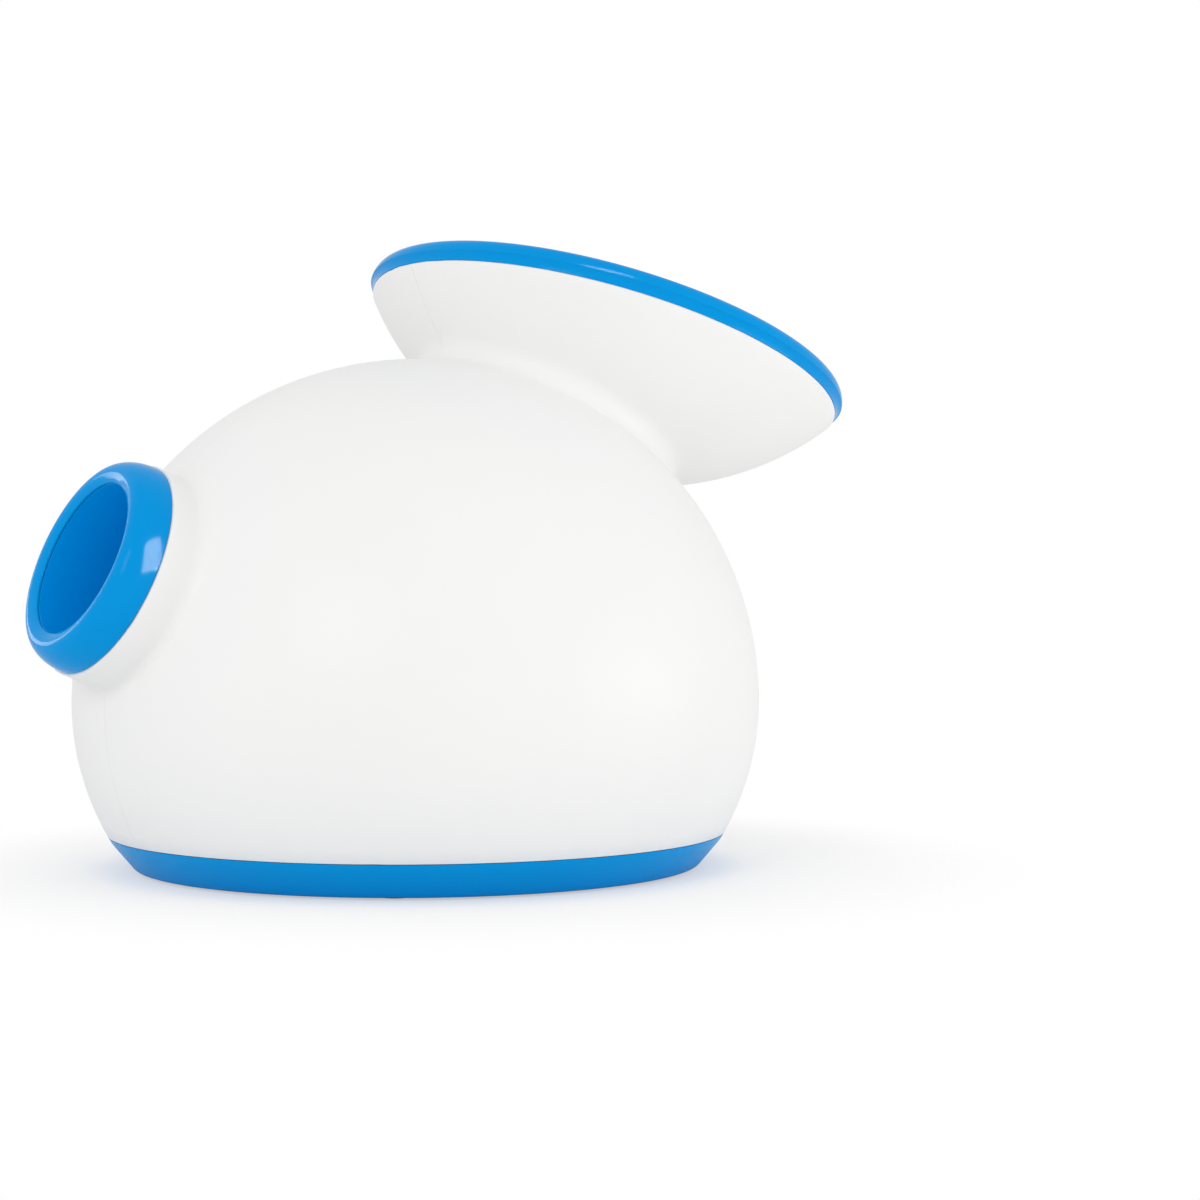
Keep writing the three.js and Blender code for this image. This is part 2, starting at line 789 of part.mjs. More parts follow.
// Each ring lies flat on a sloping plane: its centre, its half widths and the plane's slope
function linerRings(inner) {
  const slope = Math.tan(bowlTilt * degrees);
  const flat = Math.cos(bowlTilt * degrees);
  const throatSlope = Math.tan(throatTilt * degrees);
  const throatBack = bowlRimBack - throatForward;
  const rimRing = (radius, rise) => {
    const centre = at(0, 0, rise).applyMatrix4(bowlPose);
    return { y: centre.y, z: centre.z, rx: radius, ry: radius * flat, slope };
  };
  const onSphere = (rise) => {
    const radius = bowlRadius - shellWall - linerGap - linerWall;
    return rimRing(Math.sqrt(radius ** 2 - (bowlCentreRise() - rise) ** 2), rise);
  };
  const edge = onSphere(rimLegRise - seatGap);
  const turnIn = onSphere(-linerEdgeDrop);
  const mouthRadius = throatRadius() + throatLip;
  const mouth = { y: throatBack, z: throatHeight, rx: mouthRadius, ry: mouthRadius, slope: throatSlope };
  const inside = [edge, onSphere(-linerEdgeDrop / 2)];
  for (const share of [0, 0.5, 1]) {
    const ring = blendRings(turnIn, mouth, share);
    inside.push({ ...ring, z: ring.z - linerSag * 4 * share * (1 - share) });
  }
  const lipRadius = throatRadius();
  const lip = { ...mouth, z: throatHeight - throatLip, rx: lipRadius, ry: lipRadius };
  const bottom = { ...lip, z: chuteTop - tubeWall * 2, slope: 0 };
  inside.push(lip, bottom);
  const outside = inside.map((ring, i) => thickened(inside, i, linerWall));
  outside[outside.length - 1].z = bottom.z;
  const flange = rimRing(inner - seatGap, rimLegRise - seatGap);
  const flangeFoot = rimRing(inner - seatGap, rimLegRise - seatGap - linerWall / 2);
  return [...inside, ...outside.slice(2).reverse(), flangeFoot, flange];
}

function blendRings(first, second, share) {
  const mix = (key) => first[key] + (second[key] - first[key]) * share;
  return { y: mix('y'), z: mix('z'), rx: mix('rx'), ry: mix('ry'), slope: mix('slope') };
}

// A ring moved square to the profile, away from the hollow, by the wall's thickness
function thickened(rings, i, wall) {
  const before = rings[Math.max(i - 1, 0)];
  const after = rings[Math.min(i + 1, rings.length - 1)];
  const fall = Math.atan2(before.z - after.z, before.rx - after.rx);
  const ring = rings[i];
  const out = wall * Math.sin(fall);
  return { ...ring, rx: ring.rx + out, ry: ring.ry + out, z: ring.z - wall * Math.cos(fall) };
}

// Chute

function chutePoint(up, rise = 0, side = 0) {
  return at(side, up, rise).applyMatrix4(chutePose);
}

// How far up the chute's axis its line meets the throat's upright axis
function chuteCorner() {
  const across = bowlRimBack - throatForward - valley.y;
  return across / Math.cos(chuteAngle * degrees);
}

function addChute() {
  const outer = chuteRadius() + tubeWall;
  const body = join(chuteTube(outer, 0), ...chuteLugs(), ...gateEars(), ...sensorBosses());
  const hollow = chuteTube(chuteRadius(), overrun);
  const chute = cut(body, hollow, ...wheelRooms(), gateSlot(), ...chuteHoles());
  addPiece('ball_chute', chute, greyPlastic);
  for (const [name, side] of [['chute_stand_left', -1], ['chute_stand_right', 1]]) {
    addPiece(name, standSolid(), greyPlastic, at(side * standSide, standBack, 0));
  }
  for (const [name, side] of [['chute_screw_left', -1], ['chute_screw_right', 1]]) {
    const place = at(side * standSide, standBack, lugTop() + seatGap);
    addPiece(name, screwSolid(baseScrewLength - seatGap * 4), steel, place).rotation.x = Math.PI;
  }
  for (const [name, side] of [['ball_sensor_emitter', -1], ['ball_sensor_receiver', 1]]) {
    const face = sensorPlace(side, chuteRadius() + seatGap);
    const sensor = rod(face, sensorPlace(side, sensorEnd()), sensorRadius, 10);
    const head = rod(
      sensorPlace(side, sensorEnd() - sensorBossWall / 2),
      sensorPlace(side, sensorEnd()),
      sensorRadius + sensorBossWall,
      12,
    );
    addPiece(name, join(sensor, head), blackPlastic);
  }
}

// The chute's centre line falls from the throat, turns forward in one arc and runs down to the wheels
function chuteTube(radius, extra) {
  const start = chutePoint(chuteEnd - extra);
  const corner = chutePoint(chuteCorner());
  const tangent = chuteBend * Math.tan((90 - chuteAngle) / 2 * degrees);
  const bendFoot = chutePoint(chuteCorner() - tangent);
  const bendHead = corner.clone().setZ(corner.z + tangent);
  const top = corner.clone().setZ(chuteTop + extra);
  const centre = bendHead.clone().setY(bendHead.y - chuteBend);
  const bend = [];
  const bendSteps = 5;
  for (let i = 1; i < bendSteps; i++) {
    const angle = (i / bendSteps) * (90 - chuteAngle) * degrees;
    bend.push(at(0, centre.y + chuteBend * Math.cos(angle), centre.z - chuteBend * Math.sin(angle)));
  }
  return sweptRound([top, bendHead, ...bend, bendFoot, start], radius, chuteSides);
}

function lugTop() {
  return standTop() + seatGap + earThickness;
}

// The lugs lie level with the chute's axis where they stand
function standTop() {
  return valley.z + (standBack - valley.y) * Math.tan(chuteAngle * degrees) - earThickness;
}

function chuteLugs() {
  const solids = [];
  for (const side of [-1, 1]) {
    const low = standTop() + seatGap;
    const plate = block(
      at(side * (chuteRadius() + tubeWall / 2), standBack - earHalfWidth, low),
      at(side * standSide, standBack + earHalfWidth, lugTop()),
    );
    const end = at(side * standSide, standBack, low);
    solids.push(plate, rod(end, end.clone().setZ(lugTop()), earHalfWidth));
  }
  return solids;
}

function sensorPlace(side, reachOut) {
  return chutePoint(ballWaitUp - ballDiameter / 5, 0, side * reachOut);
}

function sensorEnd() {
  return chuteRadius() + sensorLength;
}

function sensorBosses() {
  const stop = sensorEnd() - sensorBossWall / 2 - seatGap;
  return [-1, 1].map((side) =>
    rod(sensorPlace(side, chuteRadius()), sensorPlace(side, stop), sensorRadius + sensorBossWall, 12));
}

function chuteHoles() {
  const holes = [-1, 1].map((side) => rod(
    at(side * standSide, standBack, standTop()),
    at(side * standSide, standBack, lugTop() + overrun),
    screwHole(),
    8,
  ));
  const acrossSensors = sensorEnd() + overrun;
  holes.push(rod(sensorPlace(-1, acrossSensors), sensorPlace(1, acrossSensors), sensorRadius + seatGap, 10));
  const half = gateEarInner + earThickness + overrun;
  holes.push(rod(gatePlace(-half), gatePlace(half), gatePinRadius + seatGap, 12));
  holes.push(rod(gateMotorPlace(gateEarInner - overrun), gateMotorPlace(half), gatePinRadius + slideGap, 12));
  return holes;
}

// Room for the two wheels wherever something stands near them
function wheelRooms() {
  return [-1, 1].map((side) => {
    const half = wheelWidth / 2 + wheelGap;
    const low = at(side * wheelSide(), nipBack, -half);
    const room = rod(low, low.clone().setZ(half), wheelRadius + wheelGap, wheelSides);
    return shaped(room, launchPose);
  });
}

// Gate

function gateUp() {
  return ballWaitUp - ballDiameter / 2 - gateLead - gateFingerThickness / 2;
}

function gatePlace(side) {
  return chutePoint(gateUp(), gateRise, side);
}

function gearCentres() {
  return gearModule * (gateTeeth + pinionTeeth) / 2;
}

function gateMotorPlace(side) {
  return chutePoint(gateUp() + gearCentres(), gateRise, side);
}

function gateEars() {
  const solids = [];
  for (const side of [-1, 1]) {
    const inner = side * gateEarInner;
    const outer = side * (gateEarInner + earThickness);
    const top = gateRise + gateHubRadius;
    const back = side > 0 ? gateUp() + gearCentres() + gateHubRadius : gateUp() + gateHubRadius;
    const profile = new THREE.Shape();
    profile.moveTo(gateUp() - gateHubRadius, chuteRadius() * 0.8);
    profile.lineTo(gateUp() - gateHubRadius, gateRise);
    profile.absarc(gateUp(), gateRise, gateHubRadius, Math.PI, Math.PI / 2, true);
    profile.lineTo(back, top);
    profile.lineTo(back + gateHubRadius, chuteRadius() * 0.8);
    const turn = new THREE.Matrix4().makeBasis(alongY, alongZ, alongX);
    turn.setPosition(Math.min(inner, outer), 0, 0);
    solids.push(shaped(extruded(profile, earThickness, turn), chutePose));
  }
  return solids;
}

function gateSlot() {
  const half = gateFingerWidth / 2 + overrun;
  const top = gateRise - gateHubRadius;
  const slot = block(at(-half, chuteEnd - overrun, 0), at(half, gateUp() + gateFingerThickness, top));
  return shaped(slot, chutePose);
}

function addGate() {
  const hubHalf = gateEarInner - slideGap;
  const hub = rod(gatePlace(-hubHalf / 2), gatePlace(hubHalf / 2), gateHubRadius, 16);
  const finger = shaped(block(
    at(-gateFingerWidth / 2, gateUp() - gateFingerThickness / 2, -gateFingerPast),
    at(gateFingerWidth / 2, gateUp() + gateFingerThickness / 2, gateRise),
  ), chutePose);
  const bore = rod(gatePlace(-hubHalf), gatePlace(hubHalf), gatePinRadius + seatGap, 12);
  addPiece('gate_lever', cut(join(hub, finger), bore), blue);
  const gearStart = gateEarInner + earThickness + gearHubGap;
  const gearStop = gearStart + gearWidth;
  const shaft = rod(gatePlace(-gearStart), gatePlace(gearStop + gearHubGap), gatePinRadius, 12);
  addPiece('gate_shaft', shaft, steel);
  const gearBore = rod(at(0, 0, -overrun), at(0, 0, gearWidth + overrun), gatePinRadius + seatGap, 12);
  const gear = cut(gearSolid(gateTeeth, 0), gearBore);
  const turn = new THREE.Matrix4().makeBasis(alongY, alongZ, alongX);
  const lean = new THREE.Matrix4().makeRotationX(chuteAngle * degrees);
  const gearPose = (place) => lean.clone().multiply(turn).setPosition(place);
  addPiece('gate_gear', shaped(gear, gearPose(gatePlace(gearStart))), greyPlastic);
  const pinionBore = rod(at(0, 0, -overrun), at(0, 0, gearWidth + overrun), shaftRadius + seatGap, 10);
  const pinion = cut(gearSolid(pinionTeeth, 0.5), pinionBore);
  addPiece('gate_pinion', shaped(pinion, gearPose(gateMotorPlace(gearStart))), brass);
  const motorStop = gateEarInner - seatGap;
  const motor = join(
    rod(gateMotorPlace(motorStop - gateMotorLength), gateMotorPlace(motorStop), gateMotorRadius, 16),
    rod(gateMotorPlace(motorStop - overrun), gateMotorPlace(gateEarInner + earThickness), gatePinRadius, 12),
    rod(gateMotorPlace(motorStop - overrun), gateMotorPlace(gearStop), shaftRadius, 8),
  );
  addPiece('gate_motor', motor, steel);
}

// Straight-sided teeth whose thickness on the pitch circle is half the pitch less the backlash
function gearSolid(teeth, offset) {
  const pitch = gearModule * teeth / 2;
  const tip = pitch + gearModule;
  const root = pitch - gearModule * 1.25;
  const step = 2 * Math.PI / teeth;
  const half = step / 4 - gearBacklash / pitch;
  const outline = new THREE.Shape();
  const corners = [[root, -half * 1.7], [tip, -half * 0.5], [tip, half * 0.5], [root, half * 1.7]];
  for (let i = 0; i < teeth; i++) {
    for (const [radius, angle] of corners) {
      const turn = (i + offset) * step + angle;
      const point = [radius * Math.cos(turn), radius * Math.sin(turn)];
      if (i === 0 && angle === corners[0][1]) outline.moveTo(...point);
      else outline.lineTo(...point);
    }
  }
  return extruded(outline, gearWidth, new THREE.Matrix4());
}

// Drive frame

function wheelSide() {
  return nipGap / 2 + wheelRadius;
}

function legPlaces() {
  const places = [];
  for (const side of [-1, 1]) places.push(at(side * legSide, -legFront, 0), at(side * legSide, -legRear, 0));
  return places;
}

// Height of a plane square to the wheels' shafts, `rise` above the launch axis, over a point `back`
function planeHeight(back, rise) {
  const point = at(0, 0, rise).applyMatrix4(launchPose);
  return point.z - (back - point.y) * Math.tan(launchAngle * degrees);
}

function addDriveFrame() {
  const top = -plateDrop;
  const outline = roundedRectangle(plateHalfWidth, (plateBack - plateFront) / 2, plateCorner);
  const middle = (plateBack + plateFront) / 2;
  const level = new THREE.Matrix4().setPosition(0, middle, top - plateThickness);
  const plate = extruded(outline, plateThickness, level);
  const troughRadius = ballDiameter / 2 + troughPlay;
  const turnReach = chuteRadius() * Math.tan((launchAngle + chuteAngle) / 2 * degrees);
  const troughEnd = valleyBack + turnReach;
  const trough = rod(at(0, plateFront, 0), at(0, troughEnd, 0), troughRadius + troughWall, 24);
  const above = block(
    at(-plateHalfWidth, plateFront - overrun, top),
    at(plateHalfWidth, troughEnd + overrun, plateHalfWidth),
  );
  const rampOuter = rod(chutePoint(-turnReach), chutePoint(chuteEnd - seatGap), chuteRadius() + tubeWall, 24);
  const rampTop = shaped(
    block(
      at(-plateHalfWidth, -plateHalfWidth, -chuteRadius() / 2),
      at(plateHalfWidth, plateHalfWidth, plateHalfWidth),
    ),
    chutePose,
  );
  const legs = legPlaces().map((place) => rod(
    place.clone().setZ(trayFloorTop() + bossHeight + seatGap),
    place.clone().setZ(planeHeight(place.y, top - plateThickness / 2)),
    legRadius,
  ));
  const pilots = legPlaces().map((place) => rod(
    place.clone().setZ(0),
    place.clone().setZ(headSeat() + baseScrewLength + seatGap),
    screwHole(),
    8,
  ));
  const body = join(
    shaped(cut(join(plate, trough), above), launchPose),
    cut(rampOuter, rampTop),
    ...legs,
  );
  const launchBore = shaped(rod(at(0, 0, 0), at(0, troughEnd, 0), troughRadius, 24), launchPose);
  const chuteBore = rod(chutePoint(-turnReach), chutePoint(chuteEnd + overrun), chuteRadius(), 24);
  const seats = [-1, 1].map((side) => shaped(rod(
    at(side * wheelSide(), nipBack, top - plateThickness - overrun),
    at(side * wheelSide(), nipBack, top + overrun),
    motorBossRadius + slideGap,
  ), launchPose));
  const cuts = [launchBore, chuteBore, ...seats, ...pilots, ...wheelRooms(), ...plateWindows(top)];
  addPiece('drive_frame', cut(body, ...cuts), greyPlastic);
}

// Windows between the motor seats and the plate's ends, and one screw hole on each side of a motor's boss
function plateWindows(top) {
  const windows = [];
  const low = top - plateThickness - overrun;
  const halfPitch = motorRadius * 0.65;
  for (const side of [-1, 1]) {
    for (const end of [-1, 1]) {
      const centre = at(side * wheelSide(), nipBack + end * halfPitch, low);
      windows.push(shaped(rod(centre, centre.clone().setZ(top + overrun), screwRadius, 8), launchPose));
    }
  }
  return windows;
}

// Flywheels

function addFlywheels() {
  const drive = new THREE.Group();
  drive.applyMatrix4(launchPose);
  launcher.add(drive);
  for (const [word, side] of [['left', -1], ['right', 1]]) {
    const place = at(side * wheelSide(), nipBack, 0);
    addPiece(`motor_${word}`, motorSolid(), steel, place, drive);
    addPiece(`motor_shaft_${word}`, motorShaft(), steel, place, drive);
    addPiece(`wheel_hub_${word}`, hubSolid(), greyPlastic, place, drive);
    addPiece(`wheel_tyre_${word}`, tyreSolid(), tyreRubber, place, drive);
  }
}

function motorTop() {
  return -plateDrop - plateThickness - seatGap;
}

function motorSolid() {
  const top = motorTop();
  const bottom = top - motorLength;
  const chamfer = motorRadius / 12;
  const outline = [[0, bottom], [motorBossRadius, bottom], [motorBossRadius, bottom + chamfer],
    [motorRadius - chamfer, bottom + chamfer], [motorRadius, bottom + chamfer * 2],
    [motorRadius, top - chamfer], [motorRadius - chamfer, top], [motorBossRadius, top],
    [motorBossRadius, top + motorBossHeight], [0, top + motorBossHeight]];
  const can = turned(outline, 16);
  const terminals = [-1, 1].map((side) => block(
    at(side * terminalPlace - terminalThickness / 2, -terminalWidth / 2, bottom - terminalLength),
    at(side * terminalPlace + terminalThickness / 2, terminalWidth / 2, bottom + chamfer * 2),
  ));
  const mouth = top + motorBossHeight + overrun;
  const bore = rod(at(0, 0, top - shaftDepth), at(0, 0, mouth), shaftRadius + seatGap, 10);
  return cut(join(can, ...terminals), bore);
}

function motorShaft() {
  return rod(at(0, 0, motorTop() - shaftDepth + seatGap), at(0, 0, wheelWidth / 2), shaftRadius, 10);
}

function hubRadius() {
  return wheelRadius - tyreThickness - seatGap;
}

function hubSolid() {
  const half = wheelWidth / 2 - seatGap;
  const rimInner = hubRadius() - hubRimWall;
  const web = hubWebThickness / 2;
  const bore = shaftRadius + seatGap;
  const outline = [[bore, -half], [hubBossRadius, -half], [hubBossRadius, -web], [rimInner, -web],
    [rimInner, -half], [hubRadius(), -half], [hubRadius(), half], [rimInner, half], [rimInner, web],
    [hubBossRadius, web], [hubBossRadius, half], [bore, half]];
  const holes = [];
  const circle = (hubBossRadius + rimInner) / 2;
  for (let i = 0; i < hubHoleCount; i++) {
    const angle = (i / hubHoleCount) * 2 * Math.PI;
    const centre = at(circle * Math.cos(angle), circle * Math.sin(angle), -half);
    holes.push(rod(centre, centre.clone().setZ(half), hubHoleRadius, 8));
  }
  return cut(turned(outline, wheelSides), ...holes);
}

function tyreSolid() {
  const half = wheelWidth / 2;
  const inner = wheelRadius - tyreThickness;
  const shoulder = tyreThickness / 4;
  const outline = [[inner, -half], [wheelRadius - shoulder, -half], [wheelRadius, -half + shoulder],
    [wheelRadius - treadHollow, 0], [wheelRadius, half - shoulder], [wheelRadius - shoulder, half],
    [inner, half]];
  return turned(outline, wheelSides);
}

// Control panel

// A stadium set into the back of the dome, grown by `grow`, from `low` to `high` behind the panel's face
function panelPocket(grow, low, high) {
  return panelBlock(panelHalfLength + grow, panelHalfHeight + grow, low, high);
}

function panelBlock(halfLength, halfHeight, low, high) {
  const outline = roundedRectangle(halfLength, halfHeight, halfHeight);
  const pose = new THREE.Matrix4().makeBasis(alongX, alongZ, alongY.clone().negate());
  pose.setPosition(0, panelBack + high, panelHeight);
  return extruded(outline, high - low, pose);
}

function panelPoint(side, rise, out) {
  return at(side, panelBack + out, panelHeight + rise);
}

function addControlPanel() {
  const back = -panelThickness;
  const hole = (side, rise, radius, sides) =>
    rod(panelPoint(side, rise, back - overrun), panelPoint(side, rise, overrun), radius, sides);
  const holes = [
    hole(0, 0, buttonRadius + slideGap, 20),
    hole(jackSide, 0, jackRadius + seatGap, 16),
    ...lensRises().map((rise) => hole(-lensSide, rise, lensRadius + seatGap, 8)),
  ];
  const boardFace = back - boardGap;
  const pinEnd = boardFace - boardThickness - boardPinProud;
  const posts = boardPosts().map(([side, rise]) => join(
    rod(panelPoint(side, rise, boardFace + seatGap), panelPoint(side, rise, back / 2), boardPostRadius, 10),
    rod(panelPoint(side, rise, pinEnd), panelPoint(side, rise, back), boardPinRadius, 6),
  ));
  addPiece('control_panel', join(cut(panelPocket(0, back, 0), ...holes), ...posts), white);
  addButton(back, boardFace);
  addLenses(back);
  addJack(back);
  addBoard(boardFace);
}

function lensRises() {
  const rises = [];
  for (let i = 0; i < lensCount; i++) rises.push((i - (lensCount - 1) / 2) * lensPitch);
  return rises;
}

function boardPosts() {
  const side = panelHalfLength - panelLedge - boardPostRadius - slideGap;
  return [[-side, 0], [side, 0]];
}

function addButton(back, boardFace) {
  const flangeTop = back - seatGap;
  const switchTop = boardFace + switchHalf;
  const layer = (low, high, radius, sides) =>
    rod(panelPoint(0, 0, low), panelPoint(0, 0, high), radius, sides);
  const button = join(
    layer(flangeTop - buttonFlange / 2, buttonProud, buttonRadius, 20),
    layer(flangeTop - buttonFlange, flangeTop, buttonRadius + buttonFlange, 20),
    layer(switchTop + seatGap + buttonTravel, back, buttonStemRadius, 16),
  );
  addPiece('mode_button', button, blue);
  const springTop = flangeTop - buttonFlange - seatGap;
  const turns = [];
  const low = boardFace + seatGap;
  const steps = springTurns * 8;
  for (let i = 0; i <= steps; i++) {
    const angle = (i / 8) * 2 * Math.PI;
    const out = low + springWire / 2 + (springTop - low - springWire) * (i / steps);
    turns.push(panelPoint(springCoil() * Math.cos(angle), springCoil() * Math.sin(angle), out));
  }
  addPiece('button_spring', sweptRound(turns, springWire / 2, 6), steel);
  const half = switchHalf;
  addPiece('tact_switch', join(
    block(panelPoint(-half, -half, boardFace + seatGap), panelPoint(half, half, switchTop - half / 2)),
    rod(panelPoint(0, 0, boardFace + half / 2), panelPoint(0, 0, switchTop), half / 2, 16),
  ), blackPlastic);
}

function springCoil() {
  return springRadius + switchHalf / 2;
}

function addLenses(back) {
  const proud = lensRadius / 4;
  const solids = lensRises().map((rise) =>
    rod(panelPoint(-lensSide, rise, back - lensBar), panelPoint(-lensSide, rise, proud), lensRadius, 8));
  const end = (lensCount - 1) / 2 * lensPitch + lensRadius;
  const bar = block(
    panelPoint(-lensSide - lensRadius, -end, back - seatGap - lensBar),
    panelPoint(-lensSide + lensRadius, end, back - seatGap),
  );
  addPiece('indicator_lens', join(bar, ...solids), lensClear);
}

function addJack(back) {
  const layer = (low, high, radius, sides) =>
    rod(panelPoint(jackSide, 0, low), panelPoint(jackSide, 0, high), radius, sides);
  const sleeve = layer(-jackDepth, buttonProud / 2, jackRadius, 16);
  const shoulder = layer(-jackDepth, back - seatGap, jackRadius + seatGap * 2, 16);
  const bore = layer(-jackDepth + overrun, overrun * 2, jackBore, 12);
  const pin = layer(-jackDepth, 0, jackPinRadius, 8);
  addPiece('dc_inlet', join(cut(join(sleeve, shoulder), bore), pin), blackPlastic);
}

function addBoard(boardFace) {
  const board = block(
    panelPoint(-boardHalfWidth, -boardHalfHeight, boardFace - boardThickness),
    panelPoint(boardHalfWidth, boardHalfHeight, boardFace),
  );
  const holes = boardPosts().map(([side, rise]) => rod(
    panelPoint(side, rise, boardFace - boardThickness - overrun),
    panelPoint(side, rise, boardFace + overrun),
    boardPinRadius + seatGap,
    8,
  ));
  addPiece('control_board', cut(board, ...holes), boardGreen);
}

// Making solids

function at(x, y, z) {
  return new THREE.Vector3(x, y, z);
}

function shifted(point, x) {
  return point.clone().setX(point.x + x);
}

// A frame at a point, leaning back about X by an angle in degrees
function frame(origin, angle) {
  return new THREE.Matrix4().makeRotationX(-angle * degrees).setPosition(origin);
}

function finish(color, roughness, metalness) {
  return new THREE.MeshStandardMaterial({ color, roughness, metalness });
}

// Points on a circle in a profile, between two angles in degrees
function arc(radius, height, round, from, to, steps) {
  const points = [];
  for (let i = 0; i <= steps; i++) {
    const angle = (from + (to - from) * (i / steps)) * degrees;
    points.push([radius + round * Math.cos(angle), height + round * Math.sin(angle)]);
  }
  return points;
}

function roundedRectangle(halfLength, halfWidth, corner) {
  const shape = new THREE.Shape();
  const along = halfLength - corner;
  const across = halfWidth - corner;
  shape.absarc(along, across, corner, 0, Math.PI / 2, false);
  shape.absarc(-along, across, corner, Math.PI / 2, Math.PI, false);
  shape.absarc(-along, -across, corner, Math.PI, Math.PI * 1.5, false);
  shape.absarc(along, -across, corner, Math.PI * 1.5, Math.PI * 2, false);
  return shape;
}

function extruded(shape, depth, pose) {
  const geometry = new THREE.ExtrudeGeometry(shape, { depth, bevelEnabled: false, curveSegments: 2 });
  return solid(geometry.applyMatrix4(pose));
}

// A profile of [radius, height] points turned about Z
function turned(points, sides, pose = new THREE.Matrix4()) {
  const geometry = lathe(points, sides).rotateX(Math.PI / 2);
  return solid(geometry.applyMatrix4(pose));
}

// The same about Y
function turnedAlongY(points, sides) {
  return solid(lathe(points, sides));
}

function lathe(points, sides) {
  const profile = points.map(([radius, height]) => new THREE.Vector2(Math.max(radius, 0), height));
  const closed = points[0][0] > 0 || points[points.length - 1][0] > 0;
  if (closed) profile.push(profile[0].clone());
  return new THREE.LatheGeometry(profile, sides);
}

function block(from, to) {
  const size = to.clone().sub(from);
  const centre = from.clone().add(to).multiplyScalar(0.5);
  const geometry = new THREE.BoxGeometry(Math.abs(size.x), Math.abs(size.y), Math.abs(size.z));
  return solid(geometry.translate(centre.x, centre.y, centre.z));
}

function rod(from, to, radius, sides = 10) {
  const axis = to.clone().sub(from);
  const geometry = new THREE.CylinderGeometry(radius, radius, axis.length(), sides);
  const turn = new THREE.Quaternion().setFromUnitVectors(alongY, axis.clone().normalize());
  const centre = from.clone().add(to).multiplyScalar(0.5);
  return solid(geometry.applyMatrix4(new THREE.Matrix4().compose(centre, turn, new THREE.Vector3(1, 1, 1))));
}

// A round section swept through points, with flat ends
function sweptRound(points, radius, sides) {
  const section = new THREE.Shape().absarc(0, 0, radius, 0, Math.PI * 2, false);
  const geometry = new THREE.ExtrudeGeometry(section, {
    steps: points.length - 1,
    curveSegments: sides / 2,
    extrudePath: new THREE.CatmullRomCurve3(points, false, 'centripetal'),
  });
  return solid(geometry);
}

// Rings of points joined in turn, the last to the first, into one closed wall
function ringLoft(rings, sides) {
  const positions = [];
  for (const ring of rings) {
    for (let i = 0; i < sides; i++) {
      const angle = (i / sides) * 2 * Math.PI;
      const y = ring.ry * Math.sin(angle);
      positions.push(ring.rx * Math.cos(angle), ring.y + y, ring.z - y * ring.slope);
    }
  }
  const index = [];
  for (let r = 0; r < rings.length; r++) {
    const here = r * sides;
    const next = ((r + 1) % rings.length) * sides;
    for (let i = 0; i < sides; i++) {
      const j = (i + 1) % sides;
      index.push(here + i, here + j, next + i, here + j, next + j, next + i);
    }
  }
  const geometry = new THREE.BufferGeometry();
  geometry.setAttribute('position', new THREE.Float32BufferAttribute(positions, 3));
  geometry.setIndex(index);
  return solid(geometry);
}

// A closed surface as a solid whose faces point out
function solid(geometry) {
  const bare = geometry.index ? geometry : mergeVertices(geometry);
  bare.deleteAttribute('normal');
  bare.deleteAttribute('uv');
  const merged = mergeVertices(bare, seatGap / 3000);
  const corners = merged.attributes.position.array;
  const index = merged.index.array;
  const triangles = [];
  let volume = 0;
  for (let i = 0; i < index.length; i += 3) {
    const [a, b, c] = [index[i], index[i + 1], index[i + 2]];
    if (a === b || b === c || c === a) continue;
    triangles.push(a, b, c);
    const [p, q, r] = [a, b, c].map((n) => new THREE.Vector3().fromArray(corners, n * 3));
    volume += p.dot(q.cross(r));
  }
  if (volume < 0) triangles.reverse();
  return new wasm.Manifold(new wasm.Mesh({
    numProp: 3,
    vertProperties: new Float32Array(corners),
    triVerts: new Uint32Array(triangles),
  }));
}

function shaped(made, pose) {
  return made.transform(pose.elements);
}

function join(first, ...others) {
  return others.reduce((whole, other) => whole.add(other), first);
}

function cut(first, ...others) {
  return others.reduce((whole, other) => whole.subtract(other), first);
}

function addPiece(name, made, material, place = at(0, 0, 0), parent = launcher) {
  const { vertProperties, triVerts } = made.getMesh();
  const geometry = new THREE.BufferGeometry();
  geometry.setAttribute('position', new THREE.BufferAttribute(new Float32Array(vertProperties), 3));
  geometry.setIndex(new THREE.BufferAttribute(new Uint32Array(triVerts), 1));
  geometry.computeVertexNormals();
  const mesh = new THREE.Mesh(geometry, material.clone());
  mesh.name = name;
  mesh.position.copy(place);
  parent.add(mesh);
  return mesh;
}
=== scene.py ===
"""Looks of the ball launcher: smooth moulded skins over the fixed frame, finishes, camera and light."""

from math import acos, atan2, cos, degrees, pi, radians, sin, sqrt, tan

import bpy
from mathutils import Matrix, Vector


